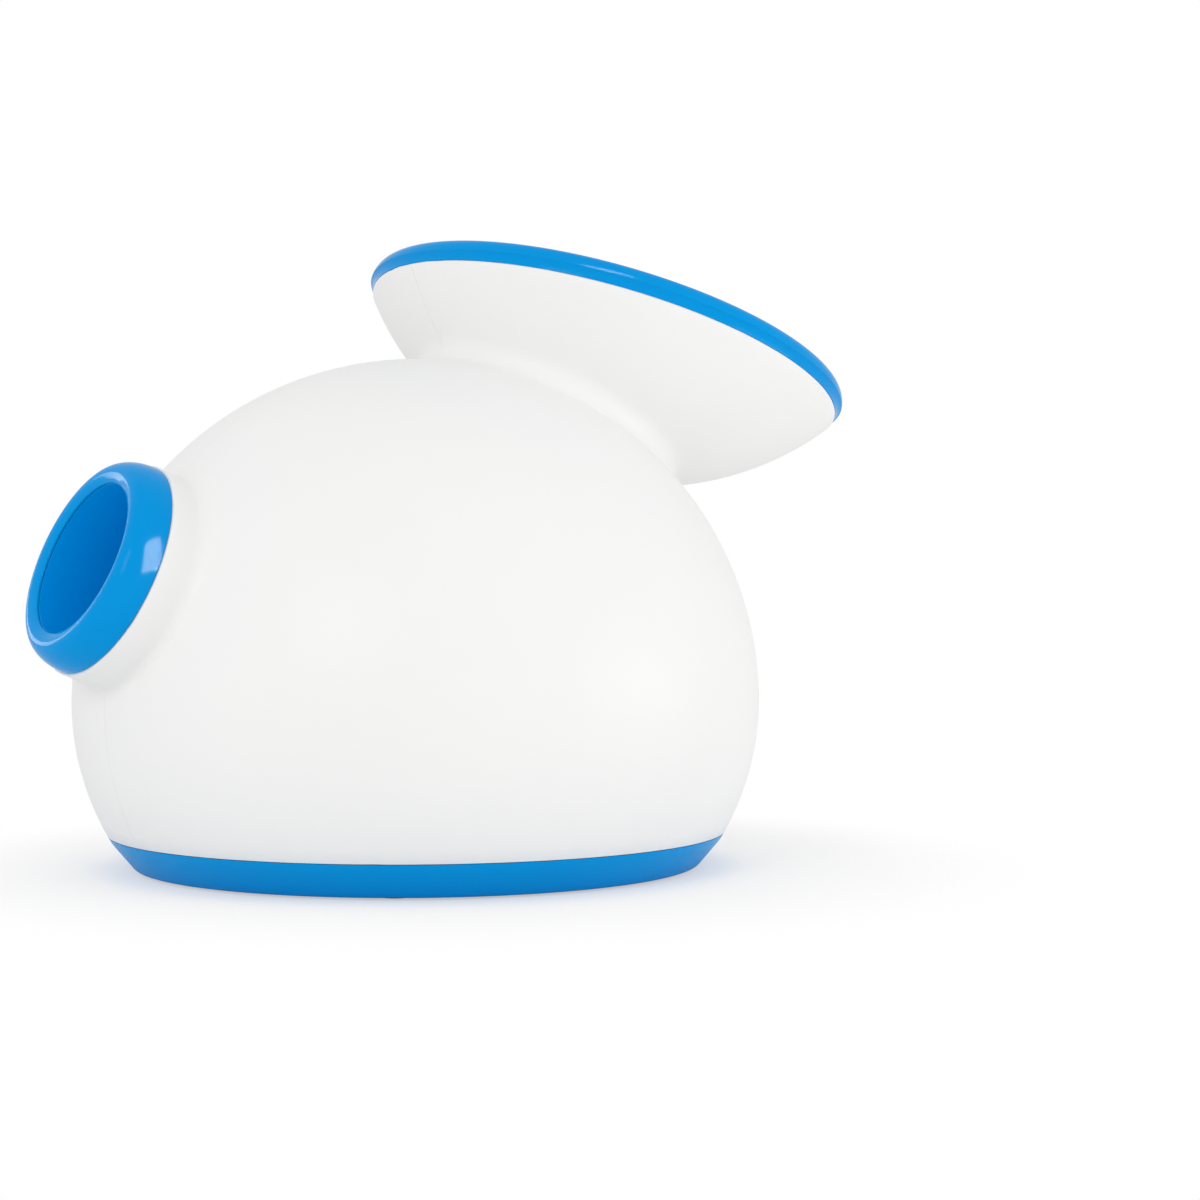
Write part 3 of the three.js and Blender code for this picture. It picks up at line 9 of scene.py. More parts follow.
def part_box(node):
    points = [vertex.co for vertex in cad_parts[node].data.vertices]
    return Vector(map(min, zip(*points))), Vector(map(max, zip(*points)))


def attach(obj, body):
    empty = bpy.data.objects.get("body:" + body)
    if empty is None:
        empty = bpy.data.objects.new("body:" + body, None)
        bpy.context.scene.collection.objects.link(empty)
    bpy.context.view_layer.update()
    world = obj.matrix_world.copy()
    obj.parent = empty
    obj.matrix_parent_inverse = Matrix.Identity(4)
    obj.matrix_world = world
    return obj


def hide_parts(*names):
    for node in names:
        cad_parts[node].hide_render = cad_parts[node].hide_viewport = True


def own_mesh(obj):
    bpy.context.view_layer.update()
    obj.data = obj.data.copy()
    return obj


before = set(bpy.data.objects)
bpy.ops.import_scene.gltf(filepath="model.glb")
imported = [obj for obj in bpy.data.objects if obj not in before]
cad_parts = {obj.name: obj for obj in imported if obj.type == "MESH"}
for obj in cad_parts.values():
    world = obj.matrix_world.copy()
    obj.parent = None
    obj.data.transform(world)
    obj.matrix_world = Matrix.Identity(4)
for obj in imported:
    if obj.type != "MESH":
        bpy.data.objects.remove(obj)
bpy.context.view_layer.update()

MM = 0.001
FULL_TURN = 2 * pi

# Sizes of the real launcher in millimetres, as its solids have them
DOME_RADIUS = 105
DOME_CENTRE_HEIGHT = 50.7
SKIRT_DEPTH = 91.4
SHELL_WALL = 2.8
SHELL_ROUND = 0.35
BASE_LINE_HEIGHT = 11
CREASE_RADIUS = 5
SEAT_GAP = 0.3
SLIDE_GAP = 0.4
SEAM_GAP = 0.2
JOINT_GAP = 0.14
OVERRUN = 2
EDGE_ROUND = 0.3
# Sides of the large turned skins, and of the ring and the barrel
ROUND_STEPS = 160
BORE_STEPS = 128

BOWL_TILT = 19
BOWL_RADIUS = 99
BOWL_RIM_RADIUS = 77.8
BOWL_RIM_BACK = 70.8
BOWL_RIM_HEIGHT = 159.8
RIM_BULGE = 1.5
RIM_HEIGHT = 7.3
RIM_LEG_WIDTH = 2.6
RIM_LEG_RISE = 1.5
TONGUE_HEIGHT = 3.2
TONGUE_WALL = 1.5
LINER_WALL = 2
LINER_GAP = 1.3
THROAT_FORWARD = 24.8
THROAT_HEIGHT = 138
THROAT_TILT = 26.5
THROAT_RADIUS = 25.3
THROAT_LIP = 2.5
THROAT_FOOT = 119.5
LINER_EDGE_DROP = 6.5
LINER_EDGE_ROUND = 3.2
LINER_SAG = 1.1

MUZZLE_REACH = 112
MUZZLE_HEIGHT = 94.2
LAUNCH_ANGLE = 22.6
BORE_RADIUS = 23
BARREL_WALL = 2.4
BARREL_LENGTH = 46
BARREL_FLANGE = 2
BARREL_CHAMFER = 0.12
RING_RADIUS = 31.8
RING_DEPTH = 9
RING_NOSE = 1.1
RING_NOSE_RADIUS = 26.4
RING_LIP = 0.6
SLEEVE_LENGTH = 7.5
SLEEVE_WALL = 1.5
NECK_RADIUS = 32.4
NECK_WALL = 2.6
NECK_FILLET = 5

GROUND_GAP = 1.5
TRAY_FLOOR = 2.5
TRAY_UNDERSIDE = 0.6
TRAY_FOOT_RADIUS = 86.4
TRAY_SLANT_TOP = 8.8
TRAY_INNER_FOOT = 86.9
TRAY_INNER_TOP = 6.6
LIP_HEIGHT = 3.6
LIP_WALL = 1.8
BOSS_HEIGHT = 5
BOSS_RADIUS = 5
POST_CIRCLE = 77
POST_ANGLE = 25
LEG_SIDE = 24
LEG_FRONT = 69
LEG_REAR = 34
STAND_SIDE = 64
STAND_BACK = 16
SPIGOT_RADIUS = 2.4
SPIGOT_HEIGHT = 6
FOOT_RADIUS = 6
FOOT_HEIGHT = 2.4
FOOT_SIDE = 61
FOOT_REACH = 46
FOOT_SINK = 1.2
FOOT_ROUND = 0.8

SCREW_RADIUS = 1.5
SCREW_HEAD_RADIUS = 3.2
SCREW_HEAD_HEIGHT = 2
SCREW_HEAD_ROUND = 0.9
CROSS_WIDTH = 0.7
THREAD_PITCH = 1.2
THREAD_ROOT = SCREW_RADIUS * 0.76
BASE_SCREW_LENGTH = 14

DOOR_HALF_WIDTH = 50.5
DOOR_FRONT = -12.9
DOOR_REAR = 62.9
DOOR_BOTTOM = 1.8
DOOR_LATCH = 8
DOOR_LATCH_REACH = 4
DOOR_RIB = 1.6
DOOR_RIB_DEPTH = 0.6
DOOR_RIBS = 5
CELL_RADIUS = 13.1
CELL_LENGTH = 48.4
CELL_NUB_RADIUS = 3.2
CELL_NUB = 1.6
CELL_ROUND = 1.3
CELL_DISH = 0.3

WHEEL_SIDE = 46.5
NIP_BACK = 72
WHEEL_RADIUS = 30
WHEEL_WIDTH = 20
TYRE_THICKNESS = 6
TREAD_HOLLOW = 1.2
TYRE_ROUND = 1.5
HUB_RADIUS = 23.7
HUB_RIM_WALL = 2.6
HUB_WEB = 4
HUB_BOSS_RADIUS = 5
HUB_HOLE_RADIUS = 4.2
HUB_HOLES = 5
HUB_ROUND = 0.8
WHEEL_GAP = 1.5

CHUTE_RADIUS = 22.5
CHUTE_ANGLE = 26
CHUTE_BEND = 38
CHUTE_TOP = 123.5
CHUTE_END = 14.6
VALLEY_BACK = 86
TUBE_WALL = 2
LUG_PLATE = 3
LUG_HALF_WIDTH = 8
EAR_INNER = 12
EAR_THICKNESS = 3
EAR_FOOT = 19.3
GATE_UP = 22
GATE_RISE = 34
GATE_HUB_RADIUS = 5
GATE_PIN_RADIUS = 2
GATE_SLOT_WIDTH = 10
GATE_SLOT_PAST = 4
GEAR_CENTRES = 16
SENSOR_UP = 38
SENSOR_RADIUS = 2.5
SENSOR_BOSS_END = 29.2

PANEL_HEIGHT = 62
PANEL_BACK = 96
PANEL_HALF_LENGTH = 30
PANEL_HALF_HEIGHT = 12
PANEL_THICKNESS = 2.5
PANEL_LEDGE = 2
PANEL_ROUND = 0.5
PANEL_UNDER = -PANEL_THICKNESS - SEAT_GAP
POCKET_WALL = 2.2
BUTTON_RADIUS = 7
BUTTON_PROUD = 2
BUTTON_FLANGE = 1.2
BUTTON_ROUND = 0.9
BUTTON_STEM_RADIUS = 2.2
BUTTON_STEM_END = -6.7
SPRING_RADIUS = 4
SPRING_WIRE = 0.6
SPRING_TURNS = 3
LENS_RADIUS = 1.6
LENS_PITCH = 6
LENS_SIDE = 15
LENS_BAR = 1.6
JACK_SIDE = 15.5
JACK_RADIUS = 5.5
JACK_BORE = 3.3
JACK_DEPTH = 9
JACK_PIN_RADIUS = 1
JACK_ROUND = 0.4
JACK_FLANGE = 0.6
BOARD_FACE = -11.5
BOARD_THICKNESS = 1.6
BOARD_POST_SIDE = 25.1
BOARD_POST_RADIUS = 2.5
BOARD_PIN_RADIUS = 1.2

# The dome's upright axis, from the base that is centred on it
tray_low, tray_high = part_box("base_tray")
AXIS_BACK = (tray_low.y + tray_high.y) / 2 / MM


def at(x, y, z):
    """A point from millimetres, x and y from the dome's axis."""
    return Vector((x, y + AXIS_BACK, z)) * MM


def leaning(origin, angle):
    """A frame at a point whose Z leans back from upright by an angle in degrees."""
    return Matrix.Translation(origin) @ Matrix.Rotation(radians(-angle), 4, "X")


bowl_frame = leaning(at(0, BOWL_RIM_BACK, BOWL_RIM_HEIGHT), BOWL_TILT)
# Z of this frame runs from the muzzle's opening back along the ball's flight
launch_frame = leaning(at(0, -MUZZLE_REACH, MUZZLE_HEIGHT), 90 + LAUNCH_ANGLE)
upright_frame = leaning(at(0, 0, 0), 0)
# X of this frame is the panel's X, its Y is up and its Z stands out of the back
panel_frame = Matrix.Translation(at(0, PANEL_BACK, PANEL_HEIGHT)) @ Matrix(
    ((1, 0, 0, 0), (0, 0, 1, 0), (0, 1, 0, 0), (0, 0, 0, 1))
)


# Modelling


def within(pose, x, y, z):
    """A point from millimetres in a frame."""
    return pose @ (Vector((x, y, z)) * MM)


def z_way(pose):
    """The direction of a frame's Z."""
    return pose.to_3x3() @ Vector((0, 0, 1))


def deselect_all():
    bpy.ops.object.select_all(action="DESELECT")


def edit_all():
    """Opens the active piece for editing and selects all of it."""
    bpy.ops.object.mode_set(mode="EDIT")
    bpy.ops.mesh.select_all(action="SELECT")


def begin(name, point):
    """A new piece of one vertex at a point, open for drawing."""
    deselect_all()
    bpy.ops.mesh.primitive_plane_add(size=MM)
    piece = bpy.context.object
    piece.name = piece.data.name = name
    edit_all()
    bpy.ops.mesh.merge(type="CENTER")
    bpy.ops.transform.translate(value=point)
    return piece


def pull(shift):
    """Draws what is selected out by a shift."""
    bpy.ops.mesh.extrude_region_move(TRANSFORM_OT_translate={"value": shift})


def draw(points):
    """Draws on from the first point, one edge for each next point."""
    for before, after in zip(points, points[1:]):
        pull(after - before)


def tidy_mesh(facing=None):
    """Merges doubles, turns the faces outwards, on an open skin away from a point, and leaves edit mode."""
    edit_all()
    bpy.ops.mesh.remove_doubles(threshold=0.002 * MM)
    bpy.ops.mesh.normals_make_consistent(inside=False)
    bpy.ops.object.mode_set(mode="OBJECT")
    if facing is not None:
        skin = bpy.context.object.data
        outward = sum(face.area * face.normal.dot(face.center - facing) for face in skin.polygons)
        if outward < 0:
            skin.flip_normals()


def arc(centre_radius, centre_along, radius, start, end, steps, rise=None):
    """Points of an arc in a profile, between two angles in degrees; an oval one has its own rise."""
    rise = rise or radius
    turns = [radians(start + (end - start) * i / steps) for i in range(steps + 1)]
    return [(centre_radius + radius * cos(turn), centre_along + rise * sin(turn)) for turn in turns]


def corner(before, tip, after, reach, steps=4):
    """Points of a rounded corner in a profile; the curve leaves the two lines at `reach` from the tip."""
    tip = Vector(tip)
    start = tip + (Vector(before) - tip).normalized() * reach
    end = tip + (Vector(after) - tip).normalized() * reach
    shares = [i / steps for i in range(steps + 1)]
    return [tuple(start * (1 - t) ** 2 + tip * 2 * t * (1 - t) + end * t ** 2) for t in shares]


def turned(name, profile, pose, steps=96, loop=False):
    """A profile of (radius, along) in millimetres, closed if it is a loop, spun about a frame's Z."""
    outline = [*profile, profile[0]] if loop else profile
    points = [within(pose, radius, 0, along) for radius, along in outline]
    piece = begin(name, points[0])
    draw(points)
    edit_all()
    bpy.ops.mesh.spin(steps=steps, angle=FULL_TURN, center=pose.translation, axis=z_way(pose))
    tidy_mesh()
    return piece


def outlined(name, outline, pose, low, high):
    """An outline of (x, y) in millimetres, filled at `low` and pulled to `high` along a frame's Z."""
    points = [within(pose, x, y, low) for x, y in [*outline, outline[0]]]
    piece = begin(name, points[0])
    draw(points)
    edit_all()
    bpy.ops.mesh.remove_doubles(threshold=0.002 * MM)
    bpy.ops.mesh.edge_face_add()
    pull(z_way(pose) * (high - low) * MM)
    tidy_mesh()
    return piece


def stadium(half_length, half_height, steps=16):
    """Outline of a slot with round ends."""
    reach = half_length - half_height
    right = arc(reach, 0, half_height, -90, 90, steps)
    return right + [(-x, -y) for x, y in right]


def rectangle(low_x, low_y, high_x, high_y):
    return [(low_x, low_y), (high_x, low_y), (high_x, high_y), (low_x, high_y)]


def rod(name, pose, radius, low, high, steps=48):
    """A round bar along a frame's Z."""
    return turned(name, [(0, low), (radius, low), (radius, high), (0, high)], pose, steps)


def beside(pose, x, y):
    """The same frame, moved sideways in its own plane."""
    return pose @ Matrix.Translation(Vector((x, y, 0)) * MM)


def activate(piece):
    deselect_all()
    piece.select_set(True)
    bpy.context.view_layer.objects.active = piece


def apply_modifier(piece, kind, **settings):
    modifier = piece.modifiers.new(kind.lower(), kind)
    for key, value in settings.items():
        setattr(modifier, key, value)
    activate(piece)
    bpy.ops.object.modifier_apply(modifier=modifier.name)


def combine(piece, others, operation):
    """Joins other pieces to one, or cuts them out of it, and removes them."""
    for other in others:
        apply_modifier(piece, "BOOLEAN", object=other, operation=operation, solver="EXACT")
        bpy.data.objects.remove(other)


def soften(piece, width, segments=3, limit=35):
    """Rounds the sharp edges, as every moulded edge is."""
    apply_modifier(piece, "BEVEL", width=width * MM, segments=segments, limit_method="ANGLE",
                   angle_limit=radians(limit))


def middle(name):
    low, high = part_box(name)
    return (low + high) / 2


def copied(piece, name):
    """A copy with its own mesh, open for editing."""
    twin = piece.copy()
    twin.data = piece.data.copy()
    twin.name = twin.data.name = name
    bpy.context.scene.collection.objects.link(twin)
    activate(twin)
    edit_all()
    return twin


def repeat(piece, first, others):
    """Copies a piece to where the other solids of its kind stand."""
    twins = []
    for name in others:
        twin = copied(piece, name + "_smooth")
        bpy.ops.transform.translate(value=middle(name) - middle(first))
        bpy.ops.object.mode_set(mode="OBJECT")
        twins.append((twin, name))
    return [(piece, first), *twins]


def settle(piece, material, solid, body="housing", limit=35):
    """Smooths a piece up to an edge angle, gives it material and body, and names the solid it hides."""
    activate(piece)
    bpy.ops.object.shade_smooth_by_angle(angle=radians(limit))
    piece.data.materials.clear()
    piece.data.materials.append(material)
    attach(piece, body)
    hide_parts(solid)


# Materials


def linear(code):
    """sRGB hex code to the linear colour that the shaders take."""
    parts = [int(code[i:i + 2], 16) / 255 for i in (0, 2, 4)]
    return [c / 12.92 if c <= 0.04045 else ((c + 0.055) / 1.055) ** 2.4 for c in parts] + [1]


def empty_tree(owner):
    owner.use_nodes = True
    owner.node_tree.nodes.clear()
    return owner.node_tree


def node(tree, kind, settings=None, links=None):
    """Adds a node; settings are its properties and input values, links its fed inputs."""
    made = tree.nodes.new(kind)
    for key, value in (settings or {}).items():
        if key in made.inputs:
            made.inputs[key].default_value = value
        else:
            setattr(made, key, value)
    for key, source in (links or {}).items():
        tree.links.new(source, made.inputs[key])
    return made


def surface(name, codes, rough, colour_mm, relief, shader_settings, stretch=(1, 1, 1)):
    """A material: two close colours in drifts, a gloss that wanders, and relief as (size, depth) in mm."""
    made = bpy.data.materials.new(name)
    tree = empty_tree(made)
    place = node(tree, "ShaderNodeTexCoord").outputs["Object"]
    drawn = node(tree, "ShaderNodeMapping", {"Scale": stretch}, {"Vector": place}).outputs["Vector"]
    grain, depth = relief
    drift, wander, pits = [
        node(
            tree, "ShaderNodeTexNoise", {"Scale": 1 / (size * MM), "Detail": detail}, {"Vector": drawn}
        ).outputs["Fac"] for size, detail in ((colour_mm, 3.0), (colour_mm * 0.6, 2.0), (grain, 2.0))
    ]
    colour = node(
        tree, "ShaderNodeMixRGB", {"Color1": linear(codes[0]), "Color2": linear(codes[1])}, {"Fac": drift}
    )
    gloss = node(
        tree, "ShaderNodeMapRange", {"To Min": rough * 0.88, "To Max": rough * 1.12}, {"Value": wander}
    )
    bump = node(tree, "ShaderNodeBump", {"Strength": 1.0, "Distance": depth * MM}, {"Height": pits})
    shader = node(
        tree, "ShaderNodeBsdfPrincipled", shader_settings,
        {"Base Color": colour.outputs["Color"], "Roughness": gloss.outputs["Result"],
         "Normal": bump.outputs["Normal"]},
    )
    node(tree, "ShaderNodeOutputMaterial", None, {"Surface": shader.outputs["BSDF"]})
    return made


def plastic(level, ior=1.5):
    """Shader settings of a plastic: how strongly it reflects, and its index of refraction."""
    return {"IOR": ior, "Specular IOR Level": level}


METAL = {"Metallic": 1.0}

# White ABS: injection moulded in a polished steel mould, so it is smooth with a soft wide sheen. Its flow
# marks are drifts of a few centimetres.
white_abs = surface("white_abs", ("F8F8F7", "F5F5F4"), 0.38, 45, (0.9, 0.0015), plastic(0.2))
# Blue ABS, coloured through: polished mould too, with a clearer highlight than the white.
blue_abs = surface("blue_abs", ("0099E4", "0095DE"), 0.12, 40, (0.9, 0.001), plastic(0.06))
# Blue ABS of the barrel: the same pigment in a thin wall, painted lighter than the other blue parts: painted
# light standing for the light that falls into the bore. Its bore is a little rubbed by the balls.
barrel_abs_painted_light = surface("barrel_abs_painted_light", ("00AAFA", "00A6F4"), 0.24, 30, (0.8, 0.002), plastic(0.1))
# Blue ABS of the base: the same pigment, in a mould with a fine satin face, so its highlight is wider.
base_abs = surface("base_abs", ("0099E2", "0094DC"), 0.26, 40, (0.9, 0.002), plastic(0.06))
# Grey ABS of the inner parts: moulded in a spark-eroded mould, whose grain of about 0.1 mm scatters the
# light. Drawn at 0.4 mm, because the real grain is finer than a pixel.
grey_abs = surface("grey_abs", ("BABEC3", "B5B9BE"), 0.55, 30, (0.4, 0.008), plastic(0.4))
# Black nylon of the inlet, the switch and the sensors: moulded, matt, with a faint sheen from its glass
# filling.
black_nylon = surface("black_nylon", ("1E1F21", "18191B"), 0.48, 12, (0.35, 0.006), plastic(0.4, 1.53))
# Soft thermoplastic rubber of the feet: moulded matt, dark grey, scuffed paler in places.
foot_rubber = surface("foot_rubber", ("2B2D30", "35373A"), 0.85, 6, (0.5, 0.02), plastic(0.3))
# Polyurethane tyre rubber: cast and ground to size, so the tread is matt with fine marks round the wheel.
tyre_rubber = surface("tyre_rubber", ("3A3C40", "333539"), 0.82, 14, (0.5, 0.02), plastic(0.3))
# Zinc-plated steel of the screws: bright, bluish, mottled by the passivation.
zinc_plate = surface("zinc_plated_steel", ("BFC3C8", "A9AFB8"), 0.3, 3, (0.3, 0.003), METAL)
# Drawn steel can of the motors: deep drawn and plated, with faint marks along the draw.
drawn_steel = surface("drawn_steel", ("B7BABE", "A8ABB0"), 0.32, 8, (0.4, 0.003), METAL, (1, 1, 0.1))
# Ground steel of the shafts: turned and ground, so it mirrors in narrow bands round the bar.
ground_steel = surface("ground_steel", ("C2C4C7", "B4B6BA"), 0.18, 5, (0.3, 0.002), METAL)
# Hard-drawn spring wire: dark bright steel with a thin skin of oil.
spring_wire = surface("spring_wire", ("9A9CA0", "85878B"), 0.28, 2, (0.3, 0.002), METAL)
# Rolled spring brass of the contacts, bare, with faint rolling marks along the strip.
rolled_brass = surface("rolled_brass", ("CBAA5C", "BD9A4C"), 0.3, 6, (0.4, 0.002), METAL, (1, 0.15, 1))
# Machined brass of the pinion: cut teeth, brighter than the rolled strip.
cut_brass = surface("cut_brass", ("D2B264", "C6A456"), 0.22, 3, (0.3, 0.002), METAL)
# Nickel-plated steel at the cells' ends: pressed and plated, bright with light handling marks.
nickel_plate = surface("nickel_plated_steel", ("CFCDC8", "BFBDB8"), 0.24, 4, (0.4, 0.002), METAL)
# Shrunk plastic sleeve of the cells: printed dark grey film, glossy, rippled slightly over the can.
cell_sleeve = surface("cell_sleeve", ("4B4E53", "43464B"), 0.3, 10, (5, 0.02), plastic(0.5, 1.48))
# Green solder mask over woven glass: a glossy lacquer that shows the weave as a fine relief, drawn at 0.6 mm.
solder_mask = surface("solder_mask", ("1D6B45", "185E3C"), 0.3, 8, (0.6, 0.01), plastic(0.5))
# Clear polycarbonate of the indicator: moulded with a polished face and a satin core that spreads the light.
clear_polycarbonate = surface(
    "clear_polycarbonate", ("E3EDF0", "D9E6EA"), 0.12, 4, (0.4, 0.002),
    {"IOR": 1.58, "Transmission Weight": 0.55},
)


# Body shells


def bowl_centre_rise():
    return sqrt(BOWL_RADIUS ** 2 - BOWL_RIM_RADIUS ** 2)


def skirt_radius(inset, height):
    drop = (DOME_CENTRE_HEIGHT - height) / (SKIRT_DEPTH - inset)
    return (DOME_RADIUS - inset) * sqrt(1 - drop ** 2)


def next_ring(shift, scale, centre):
    """Pulls the selected edge ring out by a shift and scales it about its new centre."""
    pull(shift)
    bpy.ops.transform.resize(value=scale, center_override=centre)


def shell_skin():
    """Dome, soft corner and bowl in one spun wall, drawn on down into the skirt and out into the neck."""
    dome_centre = at(0, 0, DOME_CENTRE_HEIGHT)
    bowl_centre = bowl_frame @ Vector((0, 0, bowl_centre_rise() * MM))
    line = bowl_centre - dome_centre
    apart = line.length / MM
    lower = DOME_RADIUS + CREASE_RADIUS
    upper = BOWL_RADIUS + CREASE_RADIUS
    along = (lower ** 2 - upper ** 2 + apart ** 2) / (2 * apart)
    out = sqrt(lower ** 2 - along ** 2)
    start = degrees(atan2(-along, -out)) + 360
    end = degrees(atan2(apart - along, -out))
    crease = arc(out, along, CREASE_RADIUS, start, end, 8)
    # Both arcs run a little past the planes that cut them
    dome = arc(0, 0, DOME_RADIUS, -32, start - 180, 40)
    bowl = arc(0, apart, BOWL_RADIUS, end - 180, -24, 16)
    pose = Matrix.Translation(dome_centre) @ line.to_track_quat("Z", "X").to_matrix().to_4x4()
    piece = turned("shell_pair", dome[:-1] + crease + bowl[1:], pose, ROUND_STEPS)

    edit_all()
    bpy.ops.mesh.bisect(plane_co=bowl_frame.translation, plane_no=z_way(bowl_frame), clear_outer=True)
    edit_all()
    bpy.ops.mesh.bisect(plane_co=dome_centre, plane_no=(0, 0, 1), clear_inner=True)
    rows = 10
    height, radius = DOME_CENTRE_HEIGHT, DOME_RADIUS
    skirt_end = BASE_LINE_HEIGHT - SEAT_GAP + JOINT_GAP
    for i in range(1, rows + 1):
        lower_height = DOME_CENTRE_HEIGHT + (skirt_end - DOME_CENTRE_HEIGHT) * i / rows
        lower_radius = skirt_radius(0, lower_height)
        share = lower_radius / radius
        next_ring((0, 0, (lower_height - height) * MM), (share, share, 1), at(0, 0, lower_height))
        height, radius = lower_height, lower_radius
    draw_neck(dome_centre)
    tidy_mesh(dome_centre)
    return piece


def draw_neck(dome_centre):
    """Opens the dome round the launch axis and pulls the fillet and the neck's tube out of the edge."""
    axis = z_way(launch_frame)
    to_dome = dome_centre - launch_frame.translation
    dome_back = to_dome.dot(axis) / MM
    aside = to_dome - axis * to_dome.dot(axis)
    out = NECK_RADIUS + NECK_FILLET
    fillet_back = dome_back - sqrt((DOME_RADIUS + NECK_FILLET) ** 2 - out ** 2)
    share = DOME_RADIUS / (DOME_RADIUS + NECK_FILLET)
    foot_back = dome_back - (dome_back - fillet_back) * share
    foot_radius = out * share
    foot_centre = launch_frame.translation + axis * foot_back * MM + aside
    edit_all()
    bpy.ops.mesh.bisect(plane_co=foot_centre, plane_no=-axis, clear_outer=True)
    end = degrees(acos(out / (DOME_RADIUS + NECK_FILLET)))
    fillet = arc(out, fillet_back, NECK_FILLET, 180 - end, 180, 7)
    tube = [(NECK_RADIUS, fillet_back + (RING_DEPTH + JOINT_GAP - fillet_back) * i / 3) for i in (1, 2, 3)]
    centre, radius = foot_centre, foot_radius
    for i, (next_radius, back) in enumerate(fillet[1:] + tube):
        left = max(0, 1 - (i + 1) / (len(fillet) - 1))
        next_centre = launch_frame.translation + axis * back * MM + aside * left
        grow = next_radius / radius
        next_ring(next_centre - centre, (grow, grow, grow), next_centre)
        centre, radius = next_centre, next_radius


def build_shells():
    skin = shell_skin()
    apply_modifier(skin, "SOLIDIFY", thickness=SHELL_WALL * MM, offset=-1, use_even_offset=True)
    soften(skin, SHELL_ROUND, 2, 50)
    past_skin = SHELL_WALL * 4
    pocket_low = -PANEL_THICKNESS - PANEL_LEDGE
    wall, seat, window = [
        outlined(name, stadium(PANEL_HALF_LENGTH + wider, PANEL_HALF_HEIGHT + wider), panel_frame, low, high)
        for name, wider, low, high in (
            ("pocket_wall", POCKET_WALL, pocket_low, past_skin),
            ("pocket_seat", SEAT_GAP, PANEL_UNDER, past_skin),
            ("pocket_window", -PANEL_LEDGE, pocket_low - SHELL_WALL, SHELL_WALL),
        )
    ]
    within_skin = arc(0, DOME_CENTRE_HEIGHT, DOME_RADIUS - SHELL_WALL / 4, -90, 90, 60)
    combine(wall, [turned("pocket_trim", within_skin, upright_frame, 120)], "INTERSECT")
    combine(skin, [wall], "UNION")
    combine(skin, [seat, window], "DIFFERENCE")
    for name, side in (("shell_left", -1), ("shell_right", 1)):
        half = copied(skin, name + "_skin")
        bpy.ops.mesh.bisect(
            plane_co=(side * SEAM_GAP / 2 * MM, 0, 0), plane_no=(side, 0, 0), clear_inner=True, use_fill=True
        )
        bpy.ops.object.mode_set(mode="OBJECT")
        settle(half, white_abs, name)
    bpy.data.objects.remove(skin)


build_shells()


# Muzzle


def build_muzzle():
    sleeve = NECK_RADIUS - NECK_WALL - SEAT_GAP
    seat = sleeve - SLEEVE_WALL
    sleeve_end = RING_DEPTH + SLEEVE_LENGTH
    nose_width, flank = RING_NOSE_RADIUS - BORE_RADIUS, RING_RADIUS - RING_NOSE_RADIUS
    nose = arc(RING_NOSE_RADIUS, RING_DEPTH, flank, -90, 0, 12, RING_DEPTH + RING_NOSE)
    face = [(BORE_RADIUS + nose_width * i / 8, -RING_NOSE * sin(pi / 2 * i / 8)) for i in range(8)]
    edge = (BORE_RADIUS, RING_LIP)
    lip = [edge, *corner(edge, face[0], face[1], EDGE_ROUND), *face[2:]]
    back = [(RING_RADIUS, RING_DEPTH - EDGE_ROUND), (RING_RADIUS - EDGE_ROUND, RING_DEPTH),
            (sleeve, RING_DEPTH), (sleeve, sleeve_end), (seat, sleeve_end), (seat, RING_LIP)]
    ring = turned("muzzle_ring_smooth", lip + nose[:-1] + back, launch_frame, BORE_STEPS, loop=True)
    settle(ring, blue_abs, "muzzle_ring", limit=40)

    collar = seat - SLIDE_GAP
    outer = BORE_RADIUS + BARREL_WALL
    start = RING_LIP + SEAM_GAP
    flange = sleeve_end + SEAT_GAP
    flange_end = flange + BARREL_FLANGE
    section = [(BORE_RADIUS + BARREL_CHAMFER, start), (collar, start), (collar, flange), (sleeve, flange),
               (sleeve, flange_end), (outer, flange_end), (outer, BARREL_LENGTH),
               (BORE_RADIUS + BARREL_WALL / 3, BARREL_LENGTH), (BORE_RADIUS, BARREL_LENGTH - 1),
               (BORE_RADIUS, start + BARREL_CHAMFER)]
    barrel = turned("barrel_liner", section, launch_frame, BORE_STEPS, loop=True)
    # The barrel's blue is painted lighter: painted light for the light in the bore
    settle(barrel, barrel_abs_painted_light, "barrel_tube", limit=32)


build_muzzle()


# Bowl


def build_rim():
    inner = sqrt((BOWL_RADIUS - SHELL_WALL) ** 2 - bowl_centre_rise() ** 2)
    leg_out, groove_out = inner - SEAT_GAP, inner + TONGUE_WALL + SEAT_GAP
    leg_in = leg_out - RIM_LEG_WIDTH
    groove_top = TONGUE_HEIGHT + SEAT_GAP
    widest = BOWL_RIM_RADIUS + RIM_BULGE
    foot, widest_rise, shoulder = RIM_HEIGHT * 0.05, RIM_HEIGHT * 0.42, RIM_LEG_RISE + 1
    crown = (widest + leg_in) / 2 + 0.4
    lower = [(widest - RIM_BULGE * cos(turn) ** 1.5, foot + (widest_rise - foot) * sin(turn))
             for turn in (pi / 12 * i for i in range(6))]
    outer = arc(crown, widest_rise, widest - crown, 0, 90, 9, RIM_HEIGHT - widest_rise)
    over = arc(crown, shoulder, crown - leg_in, 100, 180, 8, RIM_HEIGHT - shoulder)
    under = [(leg_in, RIM_LEG_RISE), (leg_out, RIM_LEG_RISE), (leg_out, groove_top), (groove_out, groove_top),
             (groove_out, foot)]
    rim = turned("bowl_rim_smooth", lower + outer + over + under, bowl_frame, ROUND_STEPS, loop=True)
    settle(rim, blue_abs, "funnel_rim", limit=40)


build_rim()


